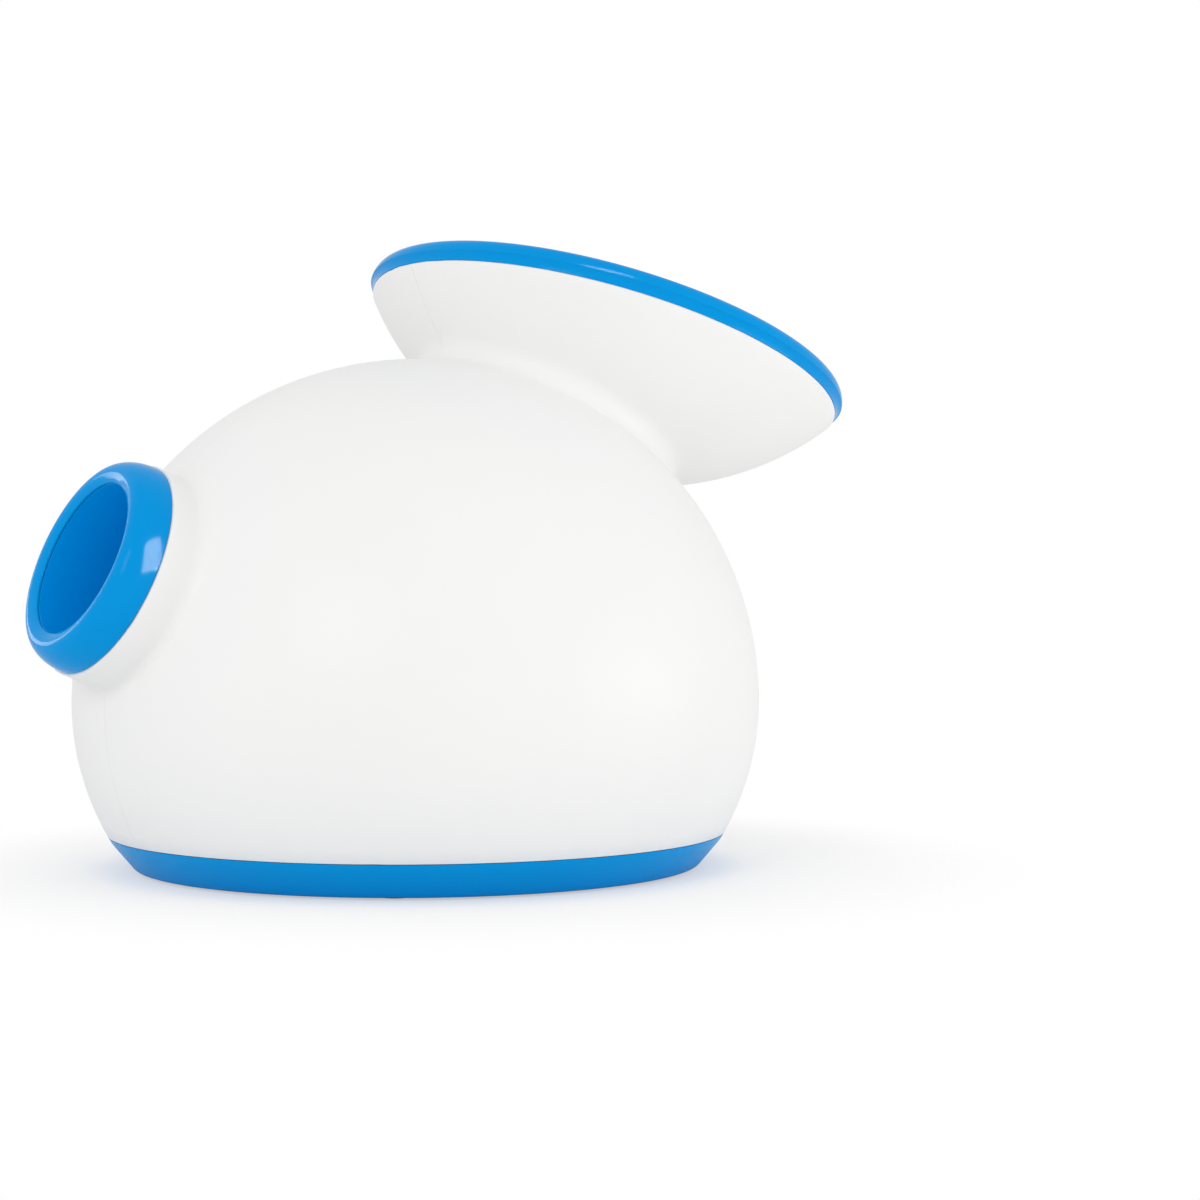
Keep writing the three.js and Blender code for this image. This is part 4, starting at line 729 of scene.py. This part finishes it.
def ring_at(back, height, across, deep, tilt=0):
    """A ring of a loft in millimetres: its centre behind the dome's axis and its height, radii and lean."""
    return {"back": back, "height": height, "across": across, "deep": deep, "tilt": tilt}


def lay_ring(name, ring, sides):
    """The first ring of a loft: a circle drawn round its centre, widened and tilted about X."""
    deselect_all()
    bpy.ops.mesh.primitive_circle_add(vertices=sides, radius=1)
    piece = bpy.context.object
    piece.name = piece.data.name = name
    edit_all()
    bpy.ops.transform.resize(value=(ring["across"] * MM, ring["deep"] * MM, 1), center_override=(0, 0, 0))
    bpy.ops.transform.translate(value=centre_of(ring))
    tip_ring(ring, 1)
    return piece


def centre_of(ring):
    return at(0, ring["back"], ring["height"])


def tip_ring(ring, way):
    """Tips the selected ring about its own centre by its tilt, forth or back."""
    bpy.ops.transform.rotate(
        value=radians(ring["tilt"]) * way, orient_axis="X", center_override=centre_of(ring)
    )


def loft_on(before, after):
    """Pulls the next ring of a loft out of the selected one."""
    pull((0, 0, 0))
    tip_ring(before, -1)
    bpy.ops.transform.translate(value=centre_of(after) - centre_of(before))
    scale = (after["across"] / before["across"], after["deep"] / before["deep"], 1)
    bpy.ops.transform.resize(value=scale, center_override=centre_of(after))
    tip_ring(after, 1)


def mixed(first, second, share):
    return {key: first[key] + (second[key] - first[key]) * share for key in first}


def build_liner():
    """The bowl's inside: an upright edge under the rim, then a funnel that sags to the oblique throat."""
    reach = BOWL_RADIUS - SHELL_WALL - LINER_GAP - LINER_WALL

    def on_sphere(rise):
        """A ring square to the bowl's axis."""
        centre = within(bowl_frame, 0, 0, rise)
        radius = sqrt(reach ** 2 - (bowl_centre_rise() - rise) ** 2)
        return ring_at(centre.y / MM - AXIS_BACK, centre.z / MM, radius, radius, BOWL_TILT)

    throat_back = BOWL_RIM_BACK - THROAT_FORWARD
    mouth_radius = THROAT_RADIUS + THROAT_LIP
    steep = cos(radians(THROAT_TILT))
    mouth = ring_at(throat_back, THROAT_HEIGHT, mouth_radius, mouth_radius / steep, THROAT_TILT)
    drop = LINER_EDGE_DROP
    rings = [on_sphere(rise) for rise in (RIM_LEG_RISE - SEAT_GAP, -drop / 4, -drop / 2)]
    turn_in, above = on_sphere(-drop), on_sphere(LINER_EDGE_ROUND - drop)
    edge_share = 0.06
    first_step = mixed(turn_in, mouth, edge_share)
    for share in (0, 0.33, 0.66, 1):
        rings.append(mixed(mixed(above, turn_in, share), first_step, share ** 1.6))
    steps = 12
    for i in range(1, steps + 1):
        share = edge_share + (1 - edge_share) * i / steps
        ring = mixed(turn_in, mouth, share)
        ring["height"] -= LINER_SAG * 4 * share * (1 - share)
        rings.append(ring)
    for angle in (25, 50, 75, 90):
        radius = mouth_radius - THROAT_LIP * sin(radians(angle))
        height = THROAT_HEIGHT - THROAT_LIP * (1 - cos(radians(angle)))
        rings.append(ring_at(throat_back, height, radius, radius / steep, THROAT_TILT))
    rings.append(ring_at(throat_back, THROAT_FOOT, THROAT_RADIUS, THROAT_RADIUS))
    piece = lay_ring("bowl_liner", rings[0], 144)
    for before, after in zip(rings, rings[1:]):
        loft_on(before, after)
    tidy_mesh(within(bowl_frame, 0, 0, BOWL_RADIUS))
    piece.data.flip_normals()  # the wall grows outwards from the face that the balls roll on
    apply_modifier(piece, "SOLIDIFY", thickness=LINER_WALL * MM, offset=-1, use_even_offset=True)
    settle(piece, white_abs, "funnel_liner", limit=40)


build_liner()


# Base


def post_places():
    reach = POST_CIRCLE * cos(radians(POST_ANGLE))
    back = POST_CIRCLE * sin(radians(POST_ANGLE))
    return [(side * reach, end * back) for side in (-1, 1) for end in (-1, 1)]


def leg_places():
    return [(side * LEG_SIDE, -back) for side in (-1, 1) for back in (LEG_FRONT, LEG_REAR)]


def build_base():
    """A shallow dish with a stepped lip, screw bosses, spigots for the stands and the battery opening."""
    floor_top = GROUND_GAP + TRAY_FLOOR
    join_height = BASE_LINE_HEIGHT - SEAT_GAP
    lip_out = skirt_radius(SHELL_WALL, BASE_LINE_HEIGHT) - SLIDE_GAP
    lip_top = BASE_LINE_HEIGHT + LIP_HEIGHT
    lip_in = lip_out - LIP_WALL
    under = (0, TRAY_UNDERSIDE)
    foot = (TRAY_FOOT_RADIUS, TRAY_UNDERSIDE)
    shoulder = (skirt_radius(0, TRAY_SLANT_TOP), TRAY_SLANT_TOP)
    brim, seam = (skirt_radius(0, join_height), join_height), (lip_out, join_height)
    outline = [under, *corner(under, foot, shoulder, 1.2), *corner(foot, shoulder, brim, 1.0),
               *corner(shoulder, brim, seam, 0.25), seam, (lip_out, lip_top), (lip_in, lip_top),
               (lip_in, TRAY_INNER_TOP), (TRAY_INNER_FOOT, floor_top), (0, floor_top)]
    tray = turned("base_band", outline, upright_frame, ROUND_STEPS)
    raised, cuts = [], []
    root, over = GROUND_GAP + TRAY_FLOOR / 2, floor_top + OVERRUN
    boss_top = floor_top + BOSS_HEIGHT
    seat = floor_top + SEAT_GAP + SCREW_HEAD_HEIGHT / 4
    hole, recess = SCREW_RADIUS + SEAT_GAP, SCREW_HEAD_RADIUS + SLIDE_GAP
    for x, y in [*post_places(), *leg_places()]:
        pose = beside(upright_frame, x, y)
        raised.append(rod("boss", pose, BOSS_RADIUS, root, boss_top))
        stepped = [(0, -OVERRUN), (recess, -OVERRUN), (recess, seat), (hole, seat),
                   (hole, boss_top + OVERRUN), (0, boss_top + OVERRUN)]
        cuts.append(turned("screw_recess", stepped, pose, 48))
    for side in (-1, 1):
        pose = beside(upright_frame, side * STAND_SIDE, STAND_BACK)
        raised.append(rod("spigot", pose, SPIGOT_RADIUS, root, floor_top + SPIGOT_HEIGHT))
        for end in (-1, 1):
            pose = beside(upright_frame, side * FOOT_SIDE, end * FOOT_REACH)
            cuts.append(rod("foot_recess", pose, FOOT_RADIUS + SEAT_GAP, -OVERRUN, GROUND_GAP + FOOT_SINK))
    wide = DOOR_HALF_WIDTH + SLIDE_GAP
    opening = rectangle(-wide, DOOR_FRONT - SLIDE_GAP, wide, DOOR_REAR + SLIDE_GAP)
    cuts.append(outlined("door_opening", opening, upright_frame, -OVERRUN, over))
    latch = DOOR_LATCH + SLIDE_GAP
    notch = rectangle(-latch, DOOR_REAR - OVERRUN, latch, DOOR_REAR + SLIDE_GAP + DOOR_LATCH_REACH)
    cuts.append(outlined("latch_notch", notch, upright_frame, -OVERRUN, over))
    combine(tray, raised, "UNION")
    combine(tray, cuts, "DIFFERENCE")
    settle(tray, base_abs, "base_tray", limit=40)


build_base()


def build_feet():
    """Low round feet with a rolled edge and a shallow dish underneath, pressed into the base."""
    first = "foot_front_left"
    dish = [(0, 0.35), (FOOT_RADIUS - 2.4, 0.3), (FOOT_RADIUS - 1.8, 0), (FOOT_RADIUS - 0.9, 0)]
    roll = arc(FOOT_RADIUS - FOOT_ROUND, FOOT_ROUND, FOOT_ROUND, -75, 0, 5)
    outline = [*dish, *roll, (FOOT_RADIUS, FOOT_HEIGHT), (0, FOOT_HEIGHT)]
    foot = turned(first + "_smooth", outline, beside(upright_frame, -FOOT_SIDE, -FOOT_REACH), 48)
    for piece, name in repeat(foot, first, ("foot_front_right", "foot_rear_left", "foot_rear_right")):
        settle(piece, foot_rubber, name, limit=40)


build_feet()


def build_screw(first, pose, length, others=()):
    """Pan head with a cross recess over a threaded shank; Z of the frame runs from the head into the hole."""
    head, root, edge, top = SCREW_HEAD_RADIUS, THREAD_ROOT, SCREW_HEAD_ROUND, -SCREW_HEAD_HEIGHT
    outline = [(0, top), *arc(head - edge, top + edge, edge, -90, 0, 5), (head, 0), (SCREW_RADIUS, 0)]
    turns = int((length - 2) / THREAD_PITCH)
    for i in range(turns):
        low = 0.4 + i * THREAD_PITCH
        outline += [(root, low), (root, low + THREAD_PITCH * 0.55), (SCREW_RADIUS, low + THREAD_PITCH * 0.8)]
    outline += [(root, length - 1.2), (0, length)]
    screw = turned(first + "_smooth", outline, pose, 24)
    blades = []
    for angle in (0, 90):
        turn = pose @ Matrix.Rotation(radians(angle), 4, "Z")
        slot = rectangle(-head * 0.58, -CROSS_WIDTH / 2, head * 0.58, CROSS_WIDTH / 2)
        blades.append(outlined("cross", slot, turn, top - OVERRUN, top * 0.45))
    combine(screw, blades, "DIFFERENCE")
    for piece, name in repeat(screw, first, others):
        settle(piece, zinc_plate, name)


def build_screws():
    corners = ("front_left", "rear_left", "front_right", "rear_right")
    names = [f"{kind}_screw_{place}" for kind in ("base", "drive") for place in corners]
    seat = leaning(at(0, 0, GROUND_GAP + TRAY_FLOOR + SCREW_HEAD_HEIGHT / 4), 0)
    build_screw(names[0], beside(seat, *post_places()[0]), BASE_SCREW_LENGTH, names[1:])
    for first, other, along, turn in (
        ("chute_screw_left", "chute_screw_right", 2, Matrix.Rotation(pi, 4, "X")),
        ("case_screw_front", "case_screw_rear", 0, Matrix.Rotation(-pi / 2, 4, "Y")),
    ):
        low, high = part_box(first)
        crown = (low + high) / 2
        crown[along] = high[along] - SCREW_HEAD_HEIGHT * MM
        length = (high[along] - low[along]) / MM - SCREW_HEAD_HEIGHT
        build_screw(first, Matrix.Translation(crown) @ turn, length, (other,))


build_screws()


# Battery door and cells


def build_door():
    """Flat lid with a finger tab at the rear and five grip grooves."""
    top = GROUND_GAP + TRAY_FLOOR
    lid = rectangle(-DOOR_HALF_WIDTH, DOOR_FRONT, DOOR_HALF_WIDTH, DOOR_REAR)
    latch = rectangle(-DOOR_LATCH, DOOR_REAR - OVERRUN, DOOR_LATCH, DOOR_REAR + DOOR_LATCH_REACH)
    plate = outlined("battery_lid", lid, upright_frame, DOOR_BOTTOM, top)
    combine(plate, [outlined("tab", latch, upright_frame, DOOR_BOTTOM, top)], "UNION")
    soften(plate, EDGE_ROUND, 3, 50)
    grooves = []
    for i in range(DOOR_RIBS):
        back = DOOR_REAR - (i + 1) * DOOR_RIB * 2
        groove = rectangle(-DOOR_LATCH, back - DOOR_RIB / 2, DOOR_LATCH, back + DOOR_RIB / 2)
        grooves.append(outlined("groove", groove, upright_frame, -OVERRUN, DOOR_BOTTOM + DOOR_RIB_DEPTH))
    combine(plate, grooves, "DIFFERENCE")
    settle(plate, base_abs, "battery_door", "door")


build_door()


def build_cells():
    """Six C cells with rounded shoulders; the sleeve covers the side, the ends are bare plated steel."""
    start = middle("cell_1")
    start.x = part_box("cell_1")[0].x
    pose = Matrix.Translation(start) @ Matrix.Rotation(pi / 2, 4, "Y")
    nub, end, dish, edge = CELL_NUB_RADIUS, CELL_LENGTH + CELL_NUB, CELL_DISH, CELL_ROUND
    outline = [(0, dish), (CELL_RADIUS - 3, dish), (CELL_RADIUS - 2.4, 0),
               *arc(CELL_RADIUS - edge, edge, edge, -90, 0, 5),
               *arc(CELL_RADIUS - edge, CELL_LENGTH - edge, edge, 0, 90, 5),
               (nub + 1, CELL_LENGTH - dish), (nub, CELL_LENGTH), (nub, end - 0.4), (nub - 0.4, end),
               (0, end)]
    cell = turned("cell_1_smooth", outline, pose, 64)
    for piece, name in repeat(cell, "cell_1", [f"cell_{number}" for number in range(2, 7)]):
        settle(piece, cell_sleeve, name, limit=40)
        piece.data.materials.append(nickel_plate)
        centre = middle(name)
        for face in piece.data.polygons:
            out = Vector((0, face.center.y - centre.y, face.center.z - centre.z)).length
            face.material_index = int(out < (CELL_RADIUS - 2) * MM)


build_cells()


# Control panel


def build_panel():
    """Slim stadium plate with a soft front edge, round holes and two posts that carry the board."""
    edge = stadium(PANEL_HALF_LENGTH, PANEL_HALF_HEIGHT, 32)
    plate = outlined("control_plate", edge, panel_frame, -PANEL_THICKNESS, 0)
    soften(plate, PANEL_ROUND, 4, 50)
    root, seat = -PANEL_THICKNESS / 2, BOARD_FACE + SEAT_GAP
    pin_end = BOARD_FACE - BOARD_THICKNESS - BOARD_PIN_RADIUS
    post = [(0, pin_end), (BOARD_PIN_RADIUS, pin_end), (BOARD_PIN_RADIUS, seat), (BOARD_POST_RADIUS, seat),
            (BOARD_POST_RADIUS, root), (0, root)]
    posts = [turned("board_post", post, beside(panel_frame, side * BOARD_POST_SIDE, 0), 32)
             for side in (-1, 1)]
    combine(plate, posts, "UNION")
    places = [(0, 0, BUTTON_RADIUS + SLIDE_GAP), (JACK_SIDE, 0, JACK_RADIUS + SEAT_GAP)]
    places += [(-LENS_SIDE, row * LENS_PITCH, LENS_RADIUS + SEAT_GAP) for row in (-1, 0, 1)]
    holes = [rod("hole", beside(panel_frame, x, y), radius, -PANEL_THICKNESS - 1, OVERRUN, 64)
             for x, y, radius in places]
    combine(plate, holes, "DIFFERENCE")
    settle(plate, white_abs, "control_panel")


build_panel()


def build_button():
    """Round cap with a rolled edge and a shallow dish, on a flange and a stem."""
    top, edge, front = PANEL_UNDER, BUTTON_ROUND, BUTTON_PROUD
    wide, back = BUTTON_RADIUS + BUTTON_FLANGE, top - BUTTON_FLANGE
    outline = [(0, BUTTON_STEM_END), (BUTTON_STEM_RADIUS, BUTTON_STEM_END), (BUTTON_STEM_RADIUS, back),
               (wide, back), (wide, top), (BUTTON_RADIUS, top),
               *arc(BUTTON_RADIUS - edge, front - edge, edge, 0, 90, 6),
               (BUTTON_RADIUS - 2.2, front - 0.2), (BUTTON_RADIUS - 4.2, front - 0.5), (0, front - 0.6)]
    cap = turned("mode_button_smooth", outline, panel_frame, 72)
    settle(cap, blue_abs, "mode_button", "button")


build_button()


def build_spring():
    """Wire coil behind the button's flange, drawn at one length, though the real one shortens as the button
    goes in.
    """
    low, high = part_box("button_spring")
    length = (high.y - low.y) / MM
    ring = [Vector((x, y, 0)) * MM for x, y in arc(SPRING_RADIUS, 0, SPRING_WIRE / 2, 0, 360, 12)]
    coil = begin("button_coil", ring[0])
    draw(ring)
    tidy_mesh()
    pitch = (length - SPRING_WIRE) / SPRING_TURNS * MM
    apply_modifier(coil, "SCREW", axis="Y", angle=FULL_TURN, screw_offset=pitch, iterations=SPRING_TURNS,
                   steps=36, render_steps=36)
    edit_all()
    bpy.ops.mesh.fill_holes(sides=0)
    bpy.ops.transform.translate(value=(0, low.y + SPRING_WIRE / 2 * MM, PANEL_HEIGHT * MM))
    tidy_mesh()
    settle(coil, spring_wire, "button_spring", limit=50)
    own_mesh(coil)


build_spring()


def build_lens():
    """Three small round light pipes on one bar behind the panel."""
    reach = LENS_PITCH + LENS_RADIUS
    root = PANEL_UNDER - LENS_BAR / 2
    strip = rectangle(-LENS_SIDE - LENS_RADIUS, -reach, -LENS_SIDE + LENS_RADIUS, reach)
    bar = outlined("light_pipes", strip, panel_frame, PANEL_UNDER - LENS_BAR, PANEL_UNDER)
    tip_out, pipe = LENS_RADIUS / 4, LENS_RADIUS - 0.02
    dome = [(0, root), (pipe, root), (pipe, tip_out - 0.4), (LENS_RADIUS - 0.35, tip_out - 0.12),
            (LENS_RADIUS * 0.4, tip_out), (0, tip_out)]
    pipes = [turned("pipe", dome, beside(panel_frame, -LENS_SIDE, row * LENS_PITCH), 32)
             for row in (-1, 0, 1)]
    combine(bar, pipes, "UNION")
    settle(bar, clear_polycarbonate, "indicator_lens")


build_lens()


def build_inlet():
    """Round power socket with a flange behind the panel and a pin in its bore."""
    outer, flange, front, edge = JACK_RADIUS, JACK_RADIUS + JACK_FLANGE, BUTTON_PROUD / 2, JACK_ROUND
    bore_end, pin = -JACK_DEPTH + OVERRUN, JACK_PIN_RADIUS
    outline = [(0, -JACK_DEPTH), (flange, -JACK_DEPTH), (flange, PANEL_UNDER), (outer, PANEL_UNDER),
               (outer, front - edge), (outer - edge, front), (JACK_BORE + edge, front),
               (JACK_BORE, front - edge), (JACK_BORE, bore_end), (pin, bore_end), (pin, -0.5),
               (pin - 0.5, 0), (0, 0)]
    socket = turned("inlet_smooth", outline, beside(panel_frame, JACK_SIDE, 0), 56)
    settle(socket, black_nylon, "dc_inlet")


build_inlet()


# Flywheels


def build_flywheels():
    """Spoked-through hubs with hollowed rubber tyres, seen through the muzzle."""
    pose = leaning(within(launch_frame, -WHEEL_SIDE, 0, NIP_BACK), LAUNCH_ANGLE)
    half = WHEEL_WIDTH / 2
    inner, side = WHEEL_RADIUS - TYRE_THICKNESS, WHEEL_RADIUS - TYRE_ROUND
    tread = [(WHEEL_RADIUS - TREAD_HOLLOW * cos(pi / 16 * i) ** 2, (half - TYRE_ROUND) * i / 8)
             for i in range(-8, 9)]
    outline = [(inner, -half), (side, -half), *tread, (side, half), (inner, half)]
    tyre = turned("wheel_tyre_left_smooth", outline, pose, 120, loop=True)
    for piece, name in repeat(tyre, "wheel_tyre_left", ("wheel_tyre_right",)):
        settle(piece, tyre_rubber, name, "fly" + name.replace("_tyre", ""))
    edge, boss, web = half - SEAT_GAP, HUB_BOSS_RADIUS, HUB_WEB / 2
    bore, rim_inner = SCREW_RADIUS + SEAT_GAP, HUB_RADIUS - HUB_RIM_WALL
    below = [(bore, -edge), (boss, -edge), (boss, -web - HUB_ROUND), (boss + HUB_ROUND, -web),
             (rim_inner - HUB_ROUND, -web), (rim_inner, -web - HUB_ROUND), (rim_inner, -edge),
             (HUB_RADIUS, -edge)]
    section = below + [(radius, -along) for radius, along in reversed(below)]
    hub = turned("wheel_hub_left_smooth", section, pose, loop=True)
    holes = []
    circle = (boss + rim_inner) / 2
    for i in range(HUB_HOLES):
        turn = FULL_TURN * i / HUB_HOLES
        place = beside(pose, circle * cos(turn), circle * sin(turn))
        holes.append(rod("hole", place, HUB_HOLE_RADIUS, -half, half, 32))
    combine(hub, holes, "DIFFERENCE")
    for piece, name in repeat(hub, "wheel_hub_left", ("wheel_hub_right",)):
        settle(piece, grey_abs, name, "fly" + name.replace("_hub", ""))


build_flywheels()


# Chute


def build_chute():
    """Smooth bent tube with lugs for the stands, ears for the gate and bosses for the sensors."""
    valley = within(launch_frame, 0, 0, VALLEY_BACK)
    chute_frame = leaning(valley, 90 - CHUTE_ANGLE)
    up = z_way(chute_frame)
    rise = chute_frame.to_3x3() @ Vector((0, -1, 0))
    # X of this frame runs up the chute, its Y rises square to the chute and its Z is the launcher's X
    side_frame = Matrix.Translation(valley) @ Matrix(
        ((up.x, rise.x, 1, 0), (up.y, rise.y, 0, 0), (up.z, rise.z, 0, 0), (0, 0, 0, 1))
    )
    across = (at(0, BOWL_RIM_BACK - THROAT_FORWARD, 0) - valley).y
    meeting = valley + up * across / cos(radians(CHUTE_ANGLE))
    tangent = CHUTE_BEND * tan(radians(90 - CHUTE_ANGLE) / 2) * MM
    bend_head = meeting + Vector((0, 0, tangent))
    bend_foot = meeting - up * tangent
    ring = ring_at(meeting.y / MM - AXIS_BACK, CHUTE_TOP, CHUTE_RADIUS, CHUTE_RADIUS)
    top = centre_of(ring)
    chute = lay_ring("smooth_chute", ring, 72)
    draw([top, bend_head])
    bend_centre = bend_head - Vector((0, CHUTE_BEND * MM, 0))
    bpy.ops.mesh.spin(steps=18, angle=radians(90 - CHUTE_ANGLE), center=bend_centre, axis=(1, 0, 0))
    draw([bend_foot, valley + up * CHUTE_END * MM])
    tidy_mesh(top)
    apply_modifier(chute, "SOLIDIFY", thickness=TUBE_WALL * MM, offset=1, use_even_offset=True)

    lug_top = (valley.z + (at(0, STAND_BACK, 0).y - valley.y) * tan(radians(CHUTE_ANGLE))) / MM + SEAT_GAP
    reach = WHEEL_WIDTH / 2 + WHEEL_GAP
    gate_pin = beside(side_frame, GATE_UP, GATE_RISE)
    sensor = beside(side_frame, SENSOR_UP, 0)
    raised, cuts = [], []
    for side in (-1, 1):
        start, end = side * (CHUTE_RADIUS + TUBE_WALL / 2), side * STAND_SIDE
        tip_arc = [(end + side * x, STAND_BACK + y) for x, y in arc(0, 0, LUG_HALF_WIDTH, -90, 90, 16)]
        plate = [(start, STAND_BACK - LUG_HALF_WIDTH), *tip_arc, (start, STAND_BACK + LUG_HALF_WIDTH)]
        raised.append(outlined("lug", plate, upright_frame, lug_top - LUG_PLATE, lug_top))
        back = GATE_UP + GATE_HUB_RADIUS + (GEAR_CENTRES if side > 0 else 0)
        ear = [(GATE_UP - GATE_HUB_RADIUS, EAR_FOOT), *arc(GATE_UP, GATE_RISE, GATE_HUB_RADIUS, 180, 90, 10),
               (back, GATE_RISE + GATE_HUB_RADIUS), (back + GATE_HUB_RADIUS, EAR_FOOT)]
        inner = side * EAR_INNER
        raised.append(outlined("ear", ear, side_frame, inner, inner + side * EAR_THICKNESS))
        low = side * (CHUTE_RADIUS + TUBE_WALL / 4)
        raised.append(rod("boss", sensor, SENSOR_RADIUS + TUBE_WALL, low, side * SENSOR_BOSS_END))
        hole = beside(upright_frame, side * STAND_SIDE, STAND_BACK)
        low = lug_top - LUG_PLATE * 2
        cuts.append(rod("hole", hole, SCREW_RADIUS + SEAT_GAP, low, lug_top + OVERRUN, 24))
        room = leaning(within(launch_frame, side * WHEEL_SIDE, 0, NIP_BACK), LAUNCH_ANGLE)
        cuts.append(rod("wheel_room", room, WHEEL_RADIUS + WHEEL_GAP, -reach, reach, 96))
    far = SENSOR_BOSS_END + OVERRUN
    cuts.append(rod("hole", sensor, SENSOR_RADIUS + SEAT_GAP, -far, far, 32))
    far = EAR_INNER + EAR_THICKNESS + OVERRUN
    cuts.append(rod("hole", gate_pin, GATE_PIN_RADIUS + SEAT_GAP, -far, far, 32))
    pinion_pin = beside(gate_pin, GEAR_CENTRES, 0)
    cuts.append(rod("hole", pinion_pin, GATE_PIN_RADIUS + SLIDE_GAP, EAR_INNER - OVERRUN, far, 32))
    slot = rectangle(CHUTE_END - OVERRUN, 0, GATE_UP + GATE_SLOT_PAST, GATE_RISE - GATE_HUB_RADIUS)
    cuts.append(outlined("slot", slot, side_frame, -GATE_SLOT_WIDTH / 2, GATE_SLOT_WIDTH / 2))
    combine(chute, raised, "UNION")
    combine(chute, cuts, "DIFFERENCE")
    settle(chute, grey_abs, "ball_chute", limit=30)


build_chute()


# The inner pieces keep their solids and take the finish that goes with the start of their name
MADE_OF = {
    "contact_strip": rolled_brass, "ball_sensor": black_nylon, "tact_switch": black_nylon,
    "control_board": solder_mask, "gate_pinion": cut_brass, "gate_lever": blue_abs,
    "motor_shaft": ground_steel, "gate_shaft": ground_steel, "motor_left": drawn_steel,
    "motor_right": drawn_steel, "gate_motor": drawn_steel,
}
for name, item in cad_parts.items():
    if item.hide_render:
        continue
    finish = next((finish for start, finish in MADE_OF.items() if name.startswith(start)), grey_abs)
    item.data.materials.clear()
    item.data.materials.append(finish)


# Camera, at the photograph's angle

camera_turn = radians(57.8)
camera_away = 747.2
camera_height = 88.1
look_turn = radians(53.5)
look_down = radians(0.5)
camera_data = bpy.data.cameras.new("camera")
camera_data.lens = 72.28
camera_data.sensor_width = 36
camera = bpy.data.objects.new("camera", camera_data)
camera.location = at(camera_away * sin(camera_turn), -camera_away * cos(camera_turn), camera_height)
toward_viewer = Vector((
    sin(look_turn) * cos(look_down), -cos(look_turn) * cos(look_down), sin(look_down)
))
camera.rotation_euler = toward_viewer.to_track_quat("Z", "Y").to_euler()
bpy.context.scene.collection.objects.link(camera)
bpy.context.scene.camera = camera


# Floor, backdrop and light


def build_floor():
    """Pale floor that keeps the shadow near the launcher and runs out to white."""
    deselect_all()
    bpy.ops.mesh.primitive_plane_add(size=8)
    floor = bpy.context.object
    floor.name = "floor"
    paper = bpy.data.materials.new("pale_paper_sweep")
    tree = empty_tree(paper)
    matt = node(tree, "ShaderNodeBsdfDiffuse", {"Color": linear("F8F8F8")})
    bright = node(tree, "ShaderNodeEmission", {"Color": (1, 1, 1, 1), "Strength": 1.0})
    place = node(tree, "ShaderNodeTexCoord").outputs["Object"]
    away = node(tree, "ShaderNodeVectorMath", {"operation": "LENGTH"}, {0: place})
    far = node(
        tree, "ShaderNodeMapRange",
        {"From Min": 0.1, "From Max": 0.19, "To Min": 0.5, "interpolation_type": "SMOOTHSTEP"},
        {"Value": away.outputs["Value"]},
    )
    path = node(tree, "ShaderNodeLightPath")
    seen = node(
        tree, "ShaderNodeMath", {"operation": "MULTIPLY"},
        {0: far.outputs["Result"], 1: path.outputs["Is Camera Ray"]},
    )
    mix = node(
        tree, "ShaderNodeMixShader", None,
        {0: seen.outputs["Value"], 1: matt.outputs["BSDF"], 2: bright.outputs["Emission"]},
    )
    node(tree, "ShaderNodeOutputMaterial", None, {"Surface": mix.outputs["Shader"]})
    floor.data.materials.append(paper)


build_floor()


def build_light():
    """A white studio with even light from all round, two softboxes, and lamps that only make glints."""
    world = bpy.context.scene.world = bpy.data.worlds.new("studio")
    tree = empty_tree(world)
    path = node(tree, "ShaderNodeLightPath")
    seen = node(
        tree, "ShaderNodeMath", {"operation": "MAXIMUM"},
        {0: path.outputs["Is Camera Ray"], 1: path.outputs["Is Transmission Ray"]},
    )
    soft = node(tree, "ShaderNodeBackground", {"Color": (1, 1, 1, 1), "Strength": 0.81})
    clean = node(tree, "ShaderNodeBackground", {"Color": (1, 1, 1, 1), "Strength": 1.0})
    mix = node(
        tree, "ShaderNodeMixShader", None,
        {0: seen.outputs["Value"], 1: soft.outputs["Background"], 2: clean.outputs["Background"]},
    )
    node(tree, "ShaderNodeOutputWorld", None, {"Surface": mix.outputs["Shader"]})
    middle_height, bowl_place = Vector((0, 0, 0.09)), Vector((0, 0.06, 0.17))
    # Place and size in metres, power in watts, and the one piece that a glint falls on
    for name, spot, size, power, aim, receiver in (
        ("softbox_front", (0.75, -1.25, 0.75), (0.5, 0.5), 3.6, middle_height, None),
        ("softbox_low", (0.45, 0.35, 0.03), (0.35, 0.35), 0.8, bowl_place, None),
        ("glint_right", (1.43, 0.19, 0.53), (0.8, 0.9), 95.0, middle_height, "muzzle_ring_smooth"),
        ("glint_high", (0.9, -0.48, 1.1), (0.5, 0.2), 9.0, middle_height, "bowl_rim_smooth"),
        ("glint_left", (-1.2, -0.55, 0.3), (0.4, 0.3), 1.6, middle_height, "muzzle_ring_smooth"),
    ):
        lamp_data = bpy.data.lights.new(name, "AREA")
        lamp_data.shape = "RECTANGLE"
        lamp_data.size, lamp_data.size_y = size
        lamp_data.energy = power
        lamp = bpy.data.objects.new(name, lamp_data)
        lamp.visible_camera = False
        lamp.location = spot
        lamp.rotation_euler = (Vector(spot) - aim).to_track_quat("Z", "Y").to_euler()
        bpy.context.scene.collection.objects.link(lamp)
        if receiver:
            lit = bpy.data.collections.new(name)
            lit.objects.link(bpy.data.objects[receiver])
            lamp.visible_diffuse = False
            lamp.light_linking.receiver_collection = lit


build_light()
bpy.context.scene.view_settings.view_transform = "Standard"
